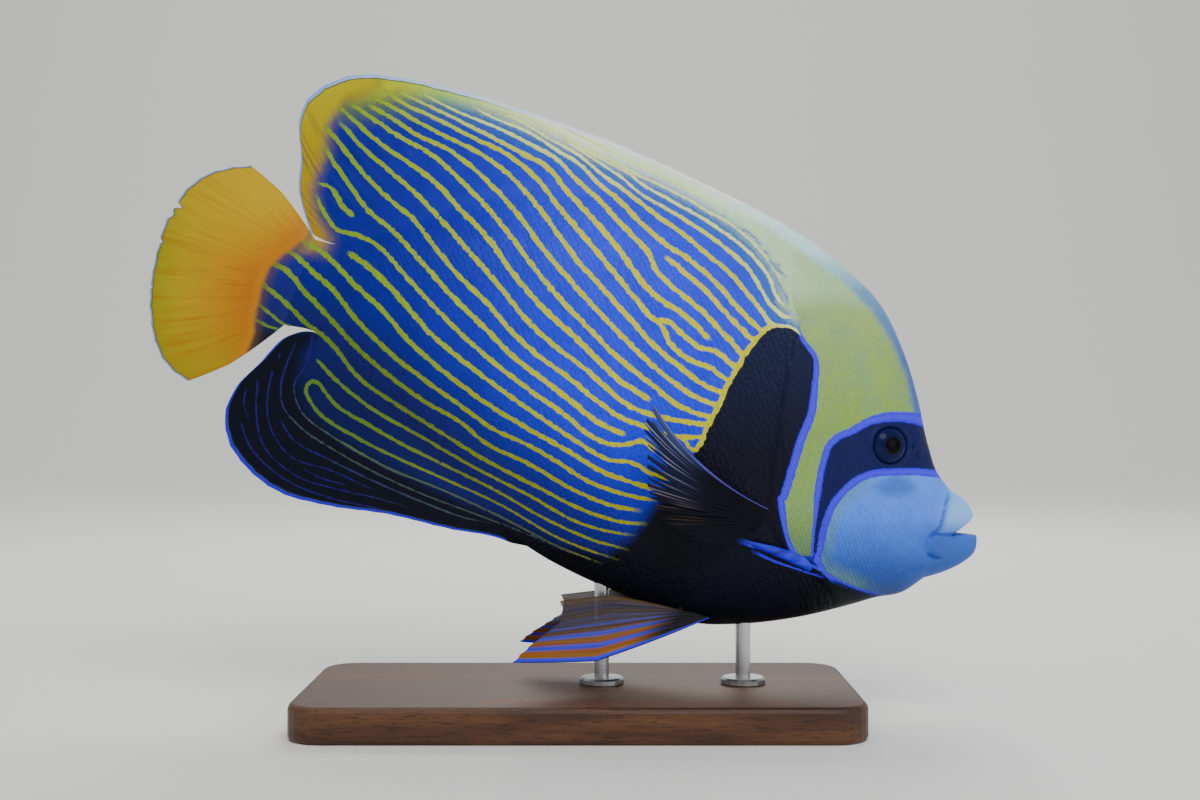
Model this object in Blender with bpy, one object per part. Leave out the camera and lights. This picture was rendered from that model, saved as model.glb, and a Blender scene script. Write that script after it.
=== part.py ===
"""Emperor angelfish, adult, life size, on a plain display stand.

The fish is drawn in its own axes: x runs forward along the body from the root of the tail fin to
the snout, y to its left and z up towards the dorsal fin. place() then sweeps the tail a little
sideways, pitches the fish head down and lifts it over the stand. World axes: +X the way the fish
swims, +Z up, origin under the middle of the stand's base.
"""

import math

import bmesh
import bpy
import numpy as np

MM = 0.001
GAP = 0.3 * MM  # between pieces that touch

# Pose on the stand
HEAD_DOWN = math.radians(20)
TAIL_ROOT = np.array([-114.0, 0.0, 174.0]) * MM  # where the fish's own origin stands in the world
SWEEP_FROM = 60 * MM  # forward of this x the body is straight
SWEEP_SPAN = 120 * MM
TAIL_SWEEP = 6 * MM  # how far the tip of the tail fin swings to the left

# Side outline of the flesh, without the fins, in millimetres of the fish's own axes (x, z)
BACK = [(0, 20.5), (9, 21.6), (20, 28), (36, 41), (62, 61), (100, 79), (140, 88), (184, 89), (204, 83),
        (221, 75.5), (239, 58.8), (250, 44.2), (261, 27), (268, 18.2), (275.4, 13.2)]
BELLY = [(0, -16), (13, -14.5), (26, -19), (44, -28.5), (66, -40.5), (100, -57.5), (125, -66.8),
         (150, -70.6), (175, -71.6), (197, -72.4), (214, -66.7), (234, -56.8), (254.7, -43.2),
         (262.4, -37.6), (270.5, -32.9), (277.5, -23.8)]
# Half width of the body at its widest, against x
HALF_WIDTHS = [(0, 4.6), (14, 7.5), (40, 13), (80, 18.5), (130, 23), (180, 25.5), (210, 25.5),
               (235, 22.5), (250, 19.2), (262, 15.6), (270, 13), (278, 11)]
FINNED_EDGE = 1.6 * MM  # half thickness of the ridge that a fin stands on
BARE_EDGE = 0.8 * MM
DORSAL_FADES = (165 * MM, 215 * MM)  # the back turns from a sharp ridge to a round nape
ANAL_FADES = (105 * MM, 170 * MM)  # the keel behind the vent turns to a round belly

# Station lines across the side view: x on the back, x on the belly, bow towards the tail
STATIONS = np.array([
    (0, 0, 0),  # root of the tail fin
    (28, 28, 0),  # tail stem meets torso
    (100, 108, 3),
    (150, 180, 10),
    (186, 246, 17),  # edge of the gill cover, where the head begins
    (226, 264, 11),
    (256, 271, 6),
    (275.4, 277.5, 4.9),  # ring behind the lips
]) * MM
STEM_END, TORSO_END, HEAD_END = 1, 4, 7
BOW_SKEW = 0.45  # the bow is deeper below the middle
RING = 18  # steps from belly to back on each side
GILL_FLARE = 0.9 * MM
GILL_FLARE_REACH = 0.5  # in stations
HEAD_LIFT = np.array([0.35, 0, 0.15]) * MM  # the gap between the head's rear face and the torso

# Lips: guide lines from the ring behind them over the rim into the mouth
UPPER_LIP = [(275.4, 13.2), (281.5, 11.8), (285.9, 9.0), (287.7, 6.4), (286.6, 4.4), (283, 3), (279, 1.5)]
LOWER_LIP = [(277.5, -23.8), (284, -18.9), (290.2, -12.6), (293.3, -6.5), (291.6, -0.4), (288, -3),
             (283, -6)]
MOUTH_CORNER = [(271.5, -5.8), (275.5, -5.4), (278.8, -4.8), (280.6, -4.2), (280.2, -3.8), (277.5, -3.4),
                (274.5, -3.2)]
CORNER_HALF_WIDTH = [12.3, 11.5, 10, 8.2, 6.6, 5, 3.4]
LIP_STEPS = [0.28, 0.6, 1.2, 1.8, 2.4, 2.9, 3.4, 4, 4.7, 6]
LIP_GROOVE = (0.28, 0.2, 1.1 * MM)  # its step, reach and depth, behind the upper lip
LIP_EDGE = 0.5 * MM

# Fins
SPINES_AND_RAYS_BACK = 34  # fourteen spines and twenty rays
SPINES_AND_RAYS_VENT = 23
TAIL_RAYS = 17
PECTORAL_RAYS = 17
PELVIC_RAYS = 9  # the branches of five rays, and the spine
MARGIN_HALF = 0.3 * MM
RIDGE = 0.3 * MM  # how far a ray stands proud of the membrane on each side
DORSAL_ROOT = (184, 10.5)  # x where the fin begins and ends on the back
DORSAL_MARGIN = [(185.5, 89.4), (171, 91.8), (141.7, 95.4), (106, 98.3), (65.7, 98.6), (31, 96.8),
                 (10.2, 94.1), (-9.5, 88), (-19, 79.5), (-23.3, 70.3), (-22.1, 60.9), (-17.3, 50.6),
                 (-14.3, 39.6), (-7.7, 29.4), (-2.2, 24.2)]
DORSAL_TIPS = [(0, 0), (0.5, 0.39), (0.75, 0.635), (0.85, 0.765), (0.93, 0.86), (1, 1)]
ANAL_ROOT = (123, 14)
ANAL_MARGIN = [(124, -67.8), (110, -67.5), (92, -70.7), (67.8, -73.4), (39.6, -79.1), (24, -80.6),
               (6.7, -76.3), (-5.2, -68), (-10.7, -56), (-10.1, -48.3), (-3.3, -32.5), (2.3, -20.6),
               (6.4, -17.2)]
ANAL_TIPS = [(0, 0), (0.5, 0.455), (0.75, 0.67), (0.88, 0.79), (1, 1)]
RAY_BOW = 0.07  # soft rays bend back towards the tail by this share of their length
TAIL_MARGIN = [(-35.5, 40), (-44.2, 35.8), (-51.1, 30.6), (-57, 22.4), (-60.3, 10), (-59.9, -6.6),
               (-58, -18), (-54.6, -28.4), (-49.6, -38.2), (-43.9, -44.7), (-37, -49.2), (-29.5, -51.2)]
FIN_ROWS = 6

PECTORAL_ROOT = [(201.5, -16.5), (201.5, -30)]
PECTORAL_MARGIN = [(150, 4.5), (149.3, -3.8), (153.8, -12.7), (156.9, -22), (162.5, -30.6), (170.5, -36.5),
                   (182, -39.6), (193, -38.5)]
PECTORAL_FLARE = math.radians(20)
PECTORAL_SAG = (-0.075, 0)  # bend of the leading and of the last ray, as a share of its length
PELVIC_ROOT = [(197, -70.5), (185, -70)]
PELVIC_ROOT_Y = 8.5 * MM
PELVIC_MARGIN = [(133.4, -108), (137, -101.6), (141.6, -94.8), (145.6, -87.6), (143, -81.5)]
PELVIC_SPLAY = (math.radians(15), math.radians(3))  # of the leading and the innermost ray
PELVIC_SAG = (-0.075, 0.08)
PELVIC_LATE = 0.8  # 0 bends a ray most at its middle, 1 nearer its tip
PAIRED_ROOT_HALF = 1.5 * MM
SUNK = 5 * MM  # how far a paired fin's root runs into the body before it is cut clear

# Eyes, nostrils and cheek spines
EYE_AT = (243.8, 21.2)
EYE_RADII = np.array([8, 8, 5]) * MM
EYE_SUNK = 2.8 * MM
NOSTRILS = [(253.5, 24), (256.3, 21.6)]
NOSTRIL_RADIUS = 1.1 * MM
SPINE_PATH = [(236, -33.8), (225, -33.2), (213, -33.1), (202.5, -33.3)]
SPINE_LIFT = [-2.6, 0.2, 1.4, 2.4]  # of its middle line off the skin
SPINE_HALF_HEIGHT = [2.9, 2.4, 1.6, 0.35]
SPINE_HALF_DEPTH = [1.9, 1.6, 1.1, 0.3]

# Stand
BASE_SIZE = np.array([220, 110, 14]) * MM
BASE_CORNER, BASE_BEVEL = 14 * MM, 2 * MM
ROD_RADIUS = 3 * MM
ROD_X = {"front": 66 * MM, "rear": 9 * MM}
ROD_FOOT = (9 * MM, 2.5 * MM)  # radius and height of the turned foot
ROD_TOP = 75 * MM  # before the belly cuts it to length


def hermite(knots, values, at):
    """Smooth curve through values at knots, read at the places asked for."""
    knots, values, at = (np.asarray(a, float) for a in (knots, values, at))
    slopes = np.gradient(values, knots, axis=0)
    i = np.clip(np.searchsorted(knots, at, side="right") - 1, 0, len(knots) - 2)
    span = knots[i + 1] - knots[i]
    t = (at - knots[i]) / span
    if values.ndim > 1:
        t, span = t[..., None], span[..., None]
    return ((1 + 2 * t) * (1 - t) ** 2 * values[i] + t * (1 - t) ** 2 * span * slopes[i]
            + t * t * (3 - 2 * t) * values[i + 1] + t * t * (t - 1) * span * slopes[i + 1])


def along(points, share):
    """Places at shares of the length of a smooth line through points in millimetres, in metres."""
    points = np.asarray(points, float) * MM
    knots = np.concatenate([[0], np.cumsum(np.linalg.norm(np.diff(points, axis=0), axis=1))])
    fine = hermite(knots, points, np.linspace(0, knots[-1], 400))
    length = np.concatenate([[0], np.cumsum(np.linalg.norm(np.diff(fine, axis=0), axis=1))])
    share = np.asarray(share, float) * length[-1]
    return np.stack([np.interp(share, length, fine[:, i]) for i in range(points.shape[1])], axis=-1)


def height_table(points):
    """x and z of a side outline, finely sampled, for np.interp."""
    return along(points, np.linspace(0, 1, 400)).T


BACK_X, BACK_Z = height_table(BACK)
BELLY_X, BELLY_Z = height_table(BELLY)


def back_z(x):
    return np.interp(x, BACK_X, BACK_Z)


def belly_z(x):
    return np.interp(x, BELLY_X, BELLY_Z)


def ease(value, low, high):
    t = np.clip((value - low) / (high - low), 0, 1)
    return t * t * (3 - 2 * t)


def half_width(x, z):
    """Half the body's thickness at a place of its side view: a lens, sharp where fins stand."""
    x, z = np.asarray(x, float), np.asarray(z, float)
    top, bottom = back_z(x), belly_z(x)
    share = np.clip((2 * z - top - bottom) / (top - bottom), -1, 1)
    finned = np.where(share > 0, 1 - ease(x, *DORSAL_FADES), 1 - ease(x, *ANAL_FADES))
    table = np.array(HALF_WIDTHS) * MM
    widest = hermite(table[:, 0], table[:, 1], np.clip(x, 0, table[-1, 0]))
    edge = BARE_EDGE + (FINNED_EDGE - BARE_EDGE) * finned
    fullness, taper = 2.1 + 0.4 * finned, 0.55 + 0.5 * finned
    return edge + (widest - edge) * (1 - np.abs(share) ** fullness) ** taper


def place(points):
    """From the fish's own axes to the world: tail sweep, pitch and lift."""
    points = np.array(points, float)
    x, y, z = points[..., 0], points[..., 1], points[..., 2]
    y = y + TAIL_SWEEP * np.clip((SWEEP_FROM - x) / SWEEP_SPAN, 0, None) ** 2
    c, s = math.cos(HEAD_DOWN), math.sin(HEAD_DOWN)
    return np.stack([x * c + z * s, y, z * c - x * s], axis=-1) + TAIL_ROOT


def ring(xs, zs, ys):
    """A closed ring: belly to back on the right side, then back to belly on the left."""
    right = np.stack([xs, -ys, zs], axis=-1)
    left = np.stack([xs, ys, zs], axis=-1)[::-1]
    return np.concatenate([right, left])


def station_ring(s):
    """The body's outline on station line s, which may fall between two listed ones."""
    on_back, on_belly, bow = hermite(range(len(STATIONS)), STATIONS, s)
    angle = np.linspace(0, math.pi, RING + 1)
    share = (1 - np.cos(angle)) / 2
    low, high = np.array([on_belly, belly_z(on_belly)]), np.array([on_back, back_z(on_back)])
    line = low + (high - low) * share[:, None]
    line[:, 0] -= bow * 4 * share * (1 - share) * (1 + BOW_SKEW * (1 - 2 * share))
    ys = half_width(line[:, 0], line[:, 1])
    if s >= TORSO_END:
        flare = np.clip(1 - (s - TORSO_END) / GILL_FLARE_REACH, 0, 1) ** 2
        ys = ys + GILL_FLARE * flare * np.sin(angle)
    return ring(line[:, 0], line[:, 1], ys)


def lip_ring(r):
    """A ring on the lips: r 0 lies behind them, 4 on the rim, 6 deep in the mouth."""
    steps = range(len(UPPER_LIP))
    upper, lower, corner, half = (
        hermite(steps, np.array(g) * MM, r) for g in (UPPER_LIP, LOWER_LIP, MOUTH_CORNER, CORNER_HALF_WIDTH)
    )
    angle = np.linspace(0, math.pi, RING + 1)
    up = -np.cos(angle)[:, None]
    line = corner + np.where(up > 0, (upper - corner) * up, (corner - lower) * up)
    step, reach, depth = LIP_GROOVE
    half = half - depth * math.exp(-((r - step) / reach) ** 2) * ease(up[:, 0], -0.7, 0.2)
    return ring(line[:, 0], line[:, 1], np.maximum(half * np.sin(angle) ** 0.85, LIP_EDGE))


def material(name, color, roughness, metallic=0.0):
    made = bpy.data.materials.get(name) or bpy.data.materials.new(name)
    made.use_nodes = True
    shader = made.node_tree.nodes["Principled BSDF"]
    shader.inputs["Base Color"].default_value = (*color, 1)
    shader.inputs["Roughness"].default_value = roughness
    shader.inputs["Metallic"].default_value = metallic
    return made


STRIPED = ("striped_skin", (0.05, 0.12, 0.62), 0.4)
FACE = ("face_skin", (0.2, 0.4, 0.85), 0.4)
YELLOW = ("yellow_fin", (0.9, 0.5, 0.02), 0.45)
NAVY = ("navy_fin", (0.01, 0.015, 0.08), 0.45)
SMOKY = ("smoky_fin", (0.04, 0.05, 0.08), 0.4)
EYE = ("eye", (0.01, 0.012, 0.03), 0.1)
SPINE_BLUE = ("blue_spine", (0.06, 0.08, 0.8), 0.35)
WOOD = ("stand_wood", (0.12, 0.065, 0.035), 0.45)
STEEL = ("stand_steel", (0.55, 0.55, 0.56), 0.3, 1.0)


def make_object(name, points, faces, finish, smooth=40):
    """One object from world points and faces."""
    mesh = bpy.data.meshes.new(name)
    mesh.from_pydata([tuple(p) for p in points], [], [tuple(int(i) for i in f) for f in faces])
    bm = bmesh.new()
    bm.from_mesh(mesh)
    bmesh.ops.recalc_face_normals(bm, faces=bm.faces)
    bm.to_mesh(mesh)
    bm.free()
    mesh.shade_smooth()
    mesh.set_sharp_from_angle(angle=math.radians(smooth))
    mesh.materials.append(material(*finish))
    made = bpy.data.objects.new(name, mesh)
    bpy.context.scene.collection.objects.link(made)
    return made


def loft(name, rings, finish):
    """Rings joined in order. Each end is closed by a ladder between its right and left side."""
    n = len(rings[0])
    faces = [(i * n + k, i * n + (k + 1) % n, (i + 1) * n + (k + 1) % n, (i + 1) * n + k)
             for i in range(len(rings) - 1) for k in range(n)]
    for start in (0, (len(rings) - 1) * n):
        faces += [(start + k, start + k + 1, start + n - 2 - k, start + n - 1 - k)
                  for k in range(n // 2 - 1)]
    return make_object(name, place(np.concatenate(rings)), faces, finish)


def fin_solid(name, middle, side, half, finish):
    """A thin solid about a grid of middle points, half thick to both sides, with like triangles on both."""
    rows, columns = half.shape
    points = np.concatenate([(middle + side * half[..., None]).reshape(-1, 3),
                             (middle - side * half[..., None]).reshape(-1, 3)])
    back = rows * columns
    index = np.arange(back).reshape(rows, columns)
    faces = []
    for i in range(rows - 1):
        for j in range(columns - 1):
            a, b, c, d = index[i, j], index[i, j + 1], index[i + 1, j + 1], index[i + 1, j]
            halves = ((a, b, c), (a, c, d)) if j % 2 else ((a, b, d), (b, c, d))
            faces += halves
            faces += [tuple(v + back for v in reversed(f)) for f in halves]
    rim = [*index[0], *index[1:, -1], *index[-1, -2::-1], *index[-2:0:-1, 0]]
    for a, b in zip(rim, rim[1:] + rim[:1]):
        faces += [(b, a, a + back), (b, a + back, b + back)]
    return make_object(name, points, faces, finish)


def ray_grid(roots, tips, bow, rows, late=0):
    """Side-view points of a fin: row 0 on the roots, the last on the tips, bent by bow."""
    r = np.linspace(0, 1, rows + 1)[:, None, None]
    reach = tips - roots
    across = np.stack([reach[:, 1], -reach[:, 0]], axis=-1)
    bend = (1 - late) * 4 * r * (1 - r) + late * 6.75 * r * r * (1 - r)
    return roots + reach * r + across * np.asarray(bow)[..., None] * bend


def ray_halves(rows, columns, root, margin=MARGIN_HALF, swell=1.6, ridge=RIDGE):
    """Half thickness over a fin's grid: root to margin, with a ridge on every other column."""
    r = np.linspace(0, 1, rows + 1)[:, None]
    on_ray = (np.arange(columns) % 2 == 0)[None, :]
    flesh = margin + (root - margin) * (1 - r) ** swell
    return flesh + ridge * on_ray * np.minimum(r * 4, 1) * (1 - 0.55 * r)


def in_plane(grid):
    """Side-view points set on the fish's middle plane."""
    return np.stack([grid[..., 0], np.zeros(grid.shape[:-1]), grid[..., 1]], axis=-1)


def median_fin(name, count, root_span, height, margin, tips, side, finish):
    """A dorsal or anal fin: rays from the body's edge to the margin, side +1 above and -1 below."""
    columns = 2 * count - 1
    t = np.linspace(0, 1, columns)
    x = (root_span[0] + (root_span[1] - root_span[0]) * t) * MM
    slope = (height(x + MM) - height(x - MM)) / (2 * MM)
    normal = np.stack([-slope, np.ones_like(slope)], axis=-1) * side
    normal /= np.linalg.norm(normal, axis=-1, keepdims=True)
    roots = np.stack([x, height(x)], axis=-1) + normal * GAP
    reach = hermite(*np.array(tips).T, t)
    ends = along(margin, reach)
    bow = -side * RAY_BOW * ease(t, 0.2, 0.7)
    grid = ray_grid(roots, ends, bow, FIN_ROWS)
    half = ray_halves(FIN_ROWS, columns, FINNED_EDGE)
    sideways = np.zeros((*half.shape, 3)) + (0, 1, 0)
    return fin_solid(name, *world_grid(in_plane(grid), sideways), half, finish)


def world_grid(middle, side):
    """Grid points and their thickness directions, carried into the world."""
    moved = place(middle)
    tip = place(middle + side * MM)
    direction = tip - moved
    return moved, direction / np.linalg.norm(direction, axis=-1, keepdims=True)


def tail_fin():
    columns = 2 * TAIL_RAYS - 1
    t = np.linspace(0, 1, columns)
    roots = np.stack([np.full(columns, -GAP), BACK[0][1] * MM * (1 - t) + BELLY[0][1] * MM * t], axis=-1)
    grid = ray_grid(roots, along(TAIL_MARGIN, t), np.zeros(columns), FIN_ROWS)
    root_half = half_width(np.zeros(columns), roots[:, 1])
    half = ray_halves(FIN_ROWS, columns, root_half[None, :], swell=3.5)
    sideways = np.zeros((*half.shape, 3)) + (0, 1, 0)
    return fin_solid("caudal_fin", *world_grid(in_plane(grid), sideways), half, YELLOW)


def paired_fin(name, count, root, root_y, margin, splay, sag, late, side, finish):
    """A fin that leaves the flank: splay turns each ray out from the body, side +1 is the left."""
    columns = 2 * count - 1
    t = np.linspace(0, 1, columns)
    roots, tips = along(root, t), along(margin, t)
    reach = tips - roots
    length = np.linalg.norm(reach, axis=-1, keepdims=True)
    sunk = roots - reach / length * SUNK
    rows = FIN_ROWS + 1
    grid = ray_grid(sunk, tips, sag[0] * (1 - t) ** 2 + sag[1] * t ** 2, rows, late)
    out = np.linspace(0, 1, rows + 1)[:, None] * (length[:, 0] + SUNK) - SUNK
    y = root_y + out * np.tan(splay)
    middle = np.stack([grid[..., 0], side * y, grid[..., 1]], axis=-1)
    along_ray, across = np.gradient(middle, axis=0), np.gradient(middle, axis=1)
    normal = np.cross(along_ray, across)
    normal /= np.linalg.norm(normal, axis=-1, keepdims=True)
    half = ray_halves(rows, columns, PAIRED_ROOT_HALF, margin=MARGIN_HALF - 0.03 * MM, ridge=0.22 * MM)
    return fin_solid(name, *world_grid(middle, normal), half, finish)


def ellipsoid(name, centre, radii, axis, finish, segments=20, rings=12):
    """A ball in the fish's own axes: radii across, across and along the axis through its poles."""
    bm = bmesh.new()
    bmesh.ops.create_uvsphere(bm, u_segments=segments, v_segments=rings, radius=1)
    points = np.array([v.co for v in bm.verts]) * radii
    faces = [[v.index for v in f.verts] for f in bm.faces]
    bm.free()
    across = np.cross(axis, (0, 0, 1))
    across /= np.linalg.norm(across)
    turn = np.stack([across, np.cross(axis, across), axis])
    return make_object(name, place(points @ turn + centre), faces, finish)


def tube(name, path, half_high, half_deep, finish, sides=10):
    """A tapered rod along a path, with an oval section that stands upright."""
    turn = np.linspace(0, 2 * math.pi, sides, endpoint=False)
    oval = np.stack([np.zeros(sides), np.cos(turn), np.sin(turn)], axis=-1)
    rings = [p + oval * (0, d, h) for p, h, d in zip(path, half_high, half_deep)]
    n = sides
    faces = [(i * n + k, i * n + (k + 1) % n, (i + 1) * n + (k + 1) % n, (i + 1) * n + k)
             for i in range(len(rings) - 1) for k in range(n)]
    faces += [tuple(range(n)), tuple((len(rings) - 1) * n + k for k in range(n))]
    return make_object(name, place(np.concatenate(rings)), faces, finish)


def cut(target, cutter):
    """Takes the cutter out of the target."""
    cutter.hide_render = True
    cutter.display_type = "WIRE"
    modifier = target.modifiers.new("cut_" + cutter.name, "BOOLEAN")
    modifier.operation = "DIFFERENCE"
    modifier.solver = "EXACT"
    modifier.object = cutter


def grown_body(stations):
    """The whole body swollen by the gap, which cuts what grows from it to a close fit."""
    made = loft("body_clearance", [station_ring(s) for s in stations], FACE)
    normals = [v.normal.copy() for v in made.data.vertices]
    for vertex, normal in zip(made.data.vertices, normals):
        vertex.co += normal * GAP
    return made


def body():
    """Head, torso and tail stem, and the swollen copy of them."""
    stem = np.linspace(0, STEM_END, 5)
    torso = np.linspace(STEM_END, TORSO_END, 17)
    head = np.concatenate([[TORSO_END, TORSO_END + 0.12], np.linspace(TORSO_END + 0.3, HEAD_END, 12)])
    loft("tail_stem", [station_ring(s) for s in stem], STRIPED)
    shifted = [station_ring(s) for s in torso]
    shifted[0] = shifted[0] + (GAP, 0, 0)
    loft("torso", shifted, STRIPED)
    rings = [station_ring(s) for s in head]
    rings[0] = rings[0] + HEAD_LIFT
    rings += [lip_ring(r) for r in LIP_STEPS]
    made = loft("head", rings, FACE)
    return made, grown_body(np.concatenate([stem[:-1], torso[:-1], head]))


def skin_point(x, z, side, out=0.0):
    """A point on the flank, out beyond the skin."""
    return np.array([x, side * (half_width(x, z) + out), z])


def skin_normal(x, z, side):
    """The way the flank faces, out from the body."""
    step = 2 * MM
    slope_x = (half_width(x + step, z) - half_width(x - step, z)) / (2 * step)
    slope_z = (half_width(x, z + step) - half_width(x, z - step)) / (2 * step)
    normal = np.array([-slope_x, side, -slope_z])
    return normal / np.linalg.norm(normal)


def eye(head, side_name, side):
    x, z = np.array(EYE_AT) * MM
    outward = skin_normal(x, z, side)
    centre = skin_point(x, z, side) - outward * EYE_SUNK
    ellipsoid("eye_" + side_name, centre, EYE_RADII, outward, EYE)
    cut(head, ellipsoid("socket_" + side_name, centre, EYE_RADII + GAP, outward, FACE))
    for i, (nx, nz) in enumerate(NOSTRILS):
        pit = skin_point(nx * MM, nz * MM, side)
        cut(head, ellipsoid(f"nostril_{side_name}_{i}", pit, np.full(3, NOSTRIL_RADIUS), outward, FACE,
                            segments=8, rings=6))


def cheek_spine(clearance, side_name, side):
    steps = np.linspace(0, 3, 8)
    knots = range(len(SPINE_PATH))
    line = hermite(knots, np.array(SPINE_PATH) * MM, steps)
    lift, high, deep = (hermite(knots, np.array(v) * MM, steps)
                        for v in (SPINE_LIFT, SPINE_HALF_HEIGHT, SPINE_HALF_DEPTH))
    path = [skin_point(x, z, side, out) for (x, z), out in zip(line, lift)]
    cut(tube("cheek_spine_" + side_name, path, high, deep, SPINE_BLUE), clearance)


def paired_fins(clearance, side_name, side):
    t = np.linspace(0, 1, 2 * PECTORAL_RAYS - 1)
    root = along(PECTORAL_ROOT, t)
    pectoral = paired_fin("pectoral_fin_" + side_name, PECTORAL_RAYS, PECTORAL_ROOT,
                          half_width(root[:, 0], root[:, 1]), PECTORAL_MARGIN,
                          PECTORAL_FLARE, PECTORAL_SAG, 0, side, SMOKY)
    t = np.linspace(0, 1, 2 * PELVIC_RAYS - 1)
    splay = PELVIC_SPLAY[0] * (1 - t) + PELVIC_SPLAY[1] * t
    pelvic = paired_fin("pelvic_fin_" + side_name, PELVIC_RAYS, PELVIC_ROOT, PELVIC_ROOT_Y,
                        PELVIC_MARGIN, splay, PELVIC_SAG, PELVIC_LATE, side, NAVY)
    for fin in (pectoral, pelvic):
        cut(fin, clearance)


def turned(name, profile, x, finish, segments=20):
    """A round piece about an upright axis at x: profile holds (radius, height) from the bottom up."""
    turn = np.linspace(0, 2 * math.pi, segments, endpoint=False)
    rings = [np.stack([x + r * np.cos(turn), r * np.sin(turn), np.full(segments, z)], axis=-1)
             for r, z in profile]
    faces = [(i * segments + k, i * segments + (k + 1) % segments,
              (i + 1) * segments + (k + 1) % segments, (i + 1) * segments + k)
             for i in range(len(rings) - 1) for k in range(segments)]
    last = (len(rings) - 1) * segments
    faces += [tuple(range(segments)), tuple(last + k for k in range(segments))]
    return make_object(name, np.concatenate(rings), faces, finish)


def stand(clearance):
    """A flat base and two short rods that end in the belly."""
    long, deep, high = BASE_SIZE
    corners = []
    for cx, cy, start in ((1, 1, 0), (-1, 1, 90), (-1, -1, 180), (1, -1, 270)):
        turn = np.radians(start + np.linspace(0, 90, 7))
        corners += [(cx * (long / 2 - BASE_CORNER) + BASE_CORNER * c,
                     cy * (deep / 2 - BASE_CORNER) + BASE_CORNER * s)
                    for c, s in zip(np.cos(turn), np.sin(turn))]
    n = len(corners)
    points = [(x, y, z) for z in (0, high) for x, y in corners]
    faces = [tuple(range(n)), tuple(range(n, 2 * n))]
    faces += [(k, (k + 1) % n, n + (k + 1) % n, n + k) for k in range(n)]
    base = make_object("stand_base", points, faces, WOOD)
    bevel = base.modifiers.new("soft edge", "BEVEL")
    bevel.width, bevel.segments = BASE_BEVEL, 2
    bevel.limit_method, bevel.angle_limit = "ANGLE", math.radians(50)
    foot_radius, foot_high = ROD_FOOT
    low = high + GAP
    for name, x in ROD_X.items():
        profile = [(foot_radius, low), (foot_radius, low + foot_high * 0.7),
                   (foot_radius - 0.8 * MM, low + foot_high), (ROD_RADIUS, low + foot_high),
                   (ROD_RADIUS, ROD_TOP)]
        cut(turned("stand_rod_" + name, profile, x, STEEL), clearance)


def main():
    for old in list(bpy.data.objects):
        bpy.data.objects.remove(old)
    head, clearance = body()
    median_fin("dorsal_fin", SPINES_AND_RAYS_BACK, DORSAL_ROOT, back_z, DORSAL_MARGIN, DORSAL_TIPS, 1,
               STRIPED)
    median_fin("anal_fin", SPINES_AND_RAYS_VENT, ANAL_ROOT, belly_z, ANAL_MARGIN, ANAL_TIPS, -1, NAVY)
    tail_fin()
    for side_name, side in (("left", 1), ("right", -1)):
        eye(head, side_name, side)
        cheek_spine(clearance, side_name, side)
        paired_fins(clearance, side_name, side)
    stand(clearance)


main()
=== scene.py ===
import math

import bpy
import numpy as np
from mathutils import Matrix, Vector, kdtree
from mathutils.bvhtree import BVHTree


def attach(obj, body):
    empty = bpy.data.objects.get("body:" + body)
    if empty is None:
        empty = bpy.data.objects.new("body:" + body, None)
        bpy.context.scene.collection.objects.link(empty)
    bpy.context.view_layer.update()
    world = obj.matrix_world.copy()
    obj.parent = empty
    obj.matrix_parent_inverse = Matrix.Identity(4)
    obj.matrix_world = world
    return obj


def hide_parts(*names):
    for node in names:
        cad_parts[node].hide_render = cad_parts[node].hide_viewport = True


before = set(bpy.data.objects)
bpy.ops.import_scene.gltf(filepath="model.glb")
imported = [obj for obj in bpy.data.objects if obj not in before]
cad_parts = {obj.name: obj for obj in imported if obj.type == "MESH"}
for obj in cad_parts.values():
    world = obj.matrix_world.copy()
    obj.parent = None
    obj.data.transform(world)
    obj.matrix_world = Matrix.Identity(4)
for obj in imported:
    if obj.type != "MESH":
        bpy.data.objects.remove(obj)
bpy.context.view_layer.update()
print("frame loaded:", len(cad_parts), "nodes")

mm = 0.001
rng = np.random.default_rng(11)

# camera
cameraSetup = {
    "place": (0.00832, -0.6728, 0.12838),  # level, looking along +Y
    "lens": 50.0,
    "sensor": 36.0,
    "nearest": 0.01,
    "pictureWidth": 1200.0,
    "pictureHeight": 800.0,
}
cameraData = bpy.data.cameras.new("camera")
cameraData.lens, cameraData.sensor_width = cameraSetup["lens"], cameraSetup["sensor"]
cameraData.clip_start = cameraSetup["nearest"]
cameraData.dof.use_dof = False
camera = bpy.data.objects.new("camera", cameraData)
camera.location = cameraSetup["place"]
camera.rotation_euler = (math.radians(90), 0, 0)
bpy.context.scene.collection.objects.link(camera)
bpy.context.scene.camera = camera

# studio
studio = {
    "lights": {  # place, aim, size in metres, watts, colour
        "key": ((0.15, -0.95, 1.05), (0.03, 0.0, 0.15), 0.7, 9.0, (1.0, 0.99, 0.97)),
        "fill": ((0.9, -0.9, 0.35), (0.0, 0.0, 0.13), 0.9, 3.0, (0.96, 0.98, 1.0)),
        "back": ((0.1, 0.9, 0.9), (0.0, 0.0, 0.15), 0.8, 6.0, (1.0, 1.0, 1.0)),
        "backdrop": ((0.0, 1.0, 2.4), (0.0, 3.2, 0.6), 1.2, 26.0, (1.0, 1.0, 1.0)),
    },
    "sky": (0.95, 0.97, 1.0),
    "skyStrength": 0.6,
}


def srgb(code, alpha=1.0):  # hex colour to linear
    parts = [int(code[i:i + 2], 16) / 255 for i in (1, 3, 5)]
    return (*[p / 12.92 if p <= 0.04045 else ((p + 0.055) / 1.055) ** 2.4 for p in parts], alpha)


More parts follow.
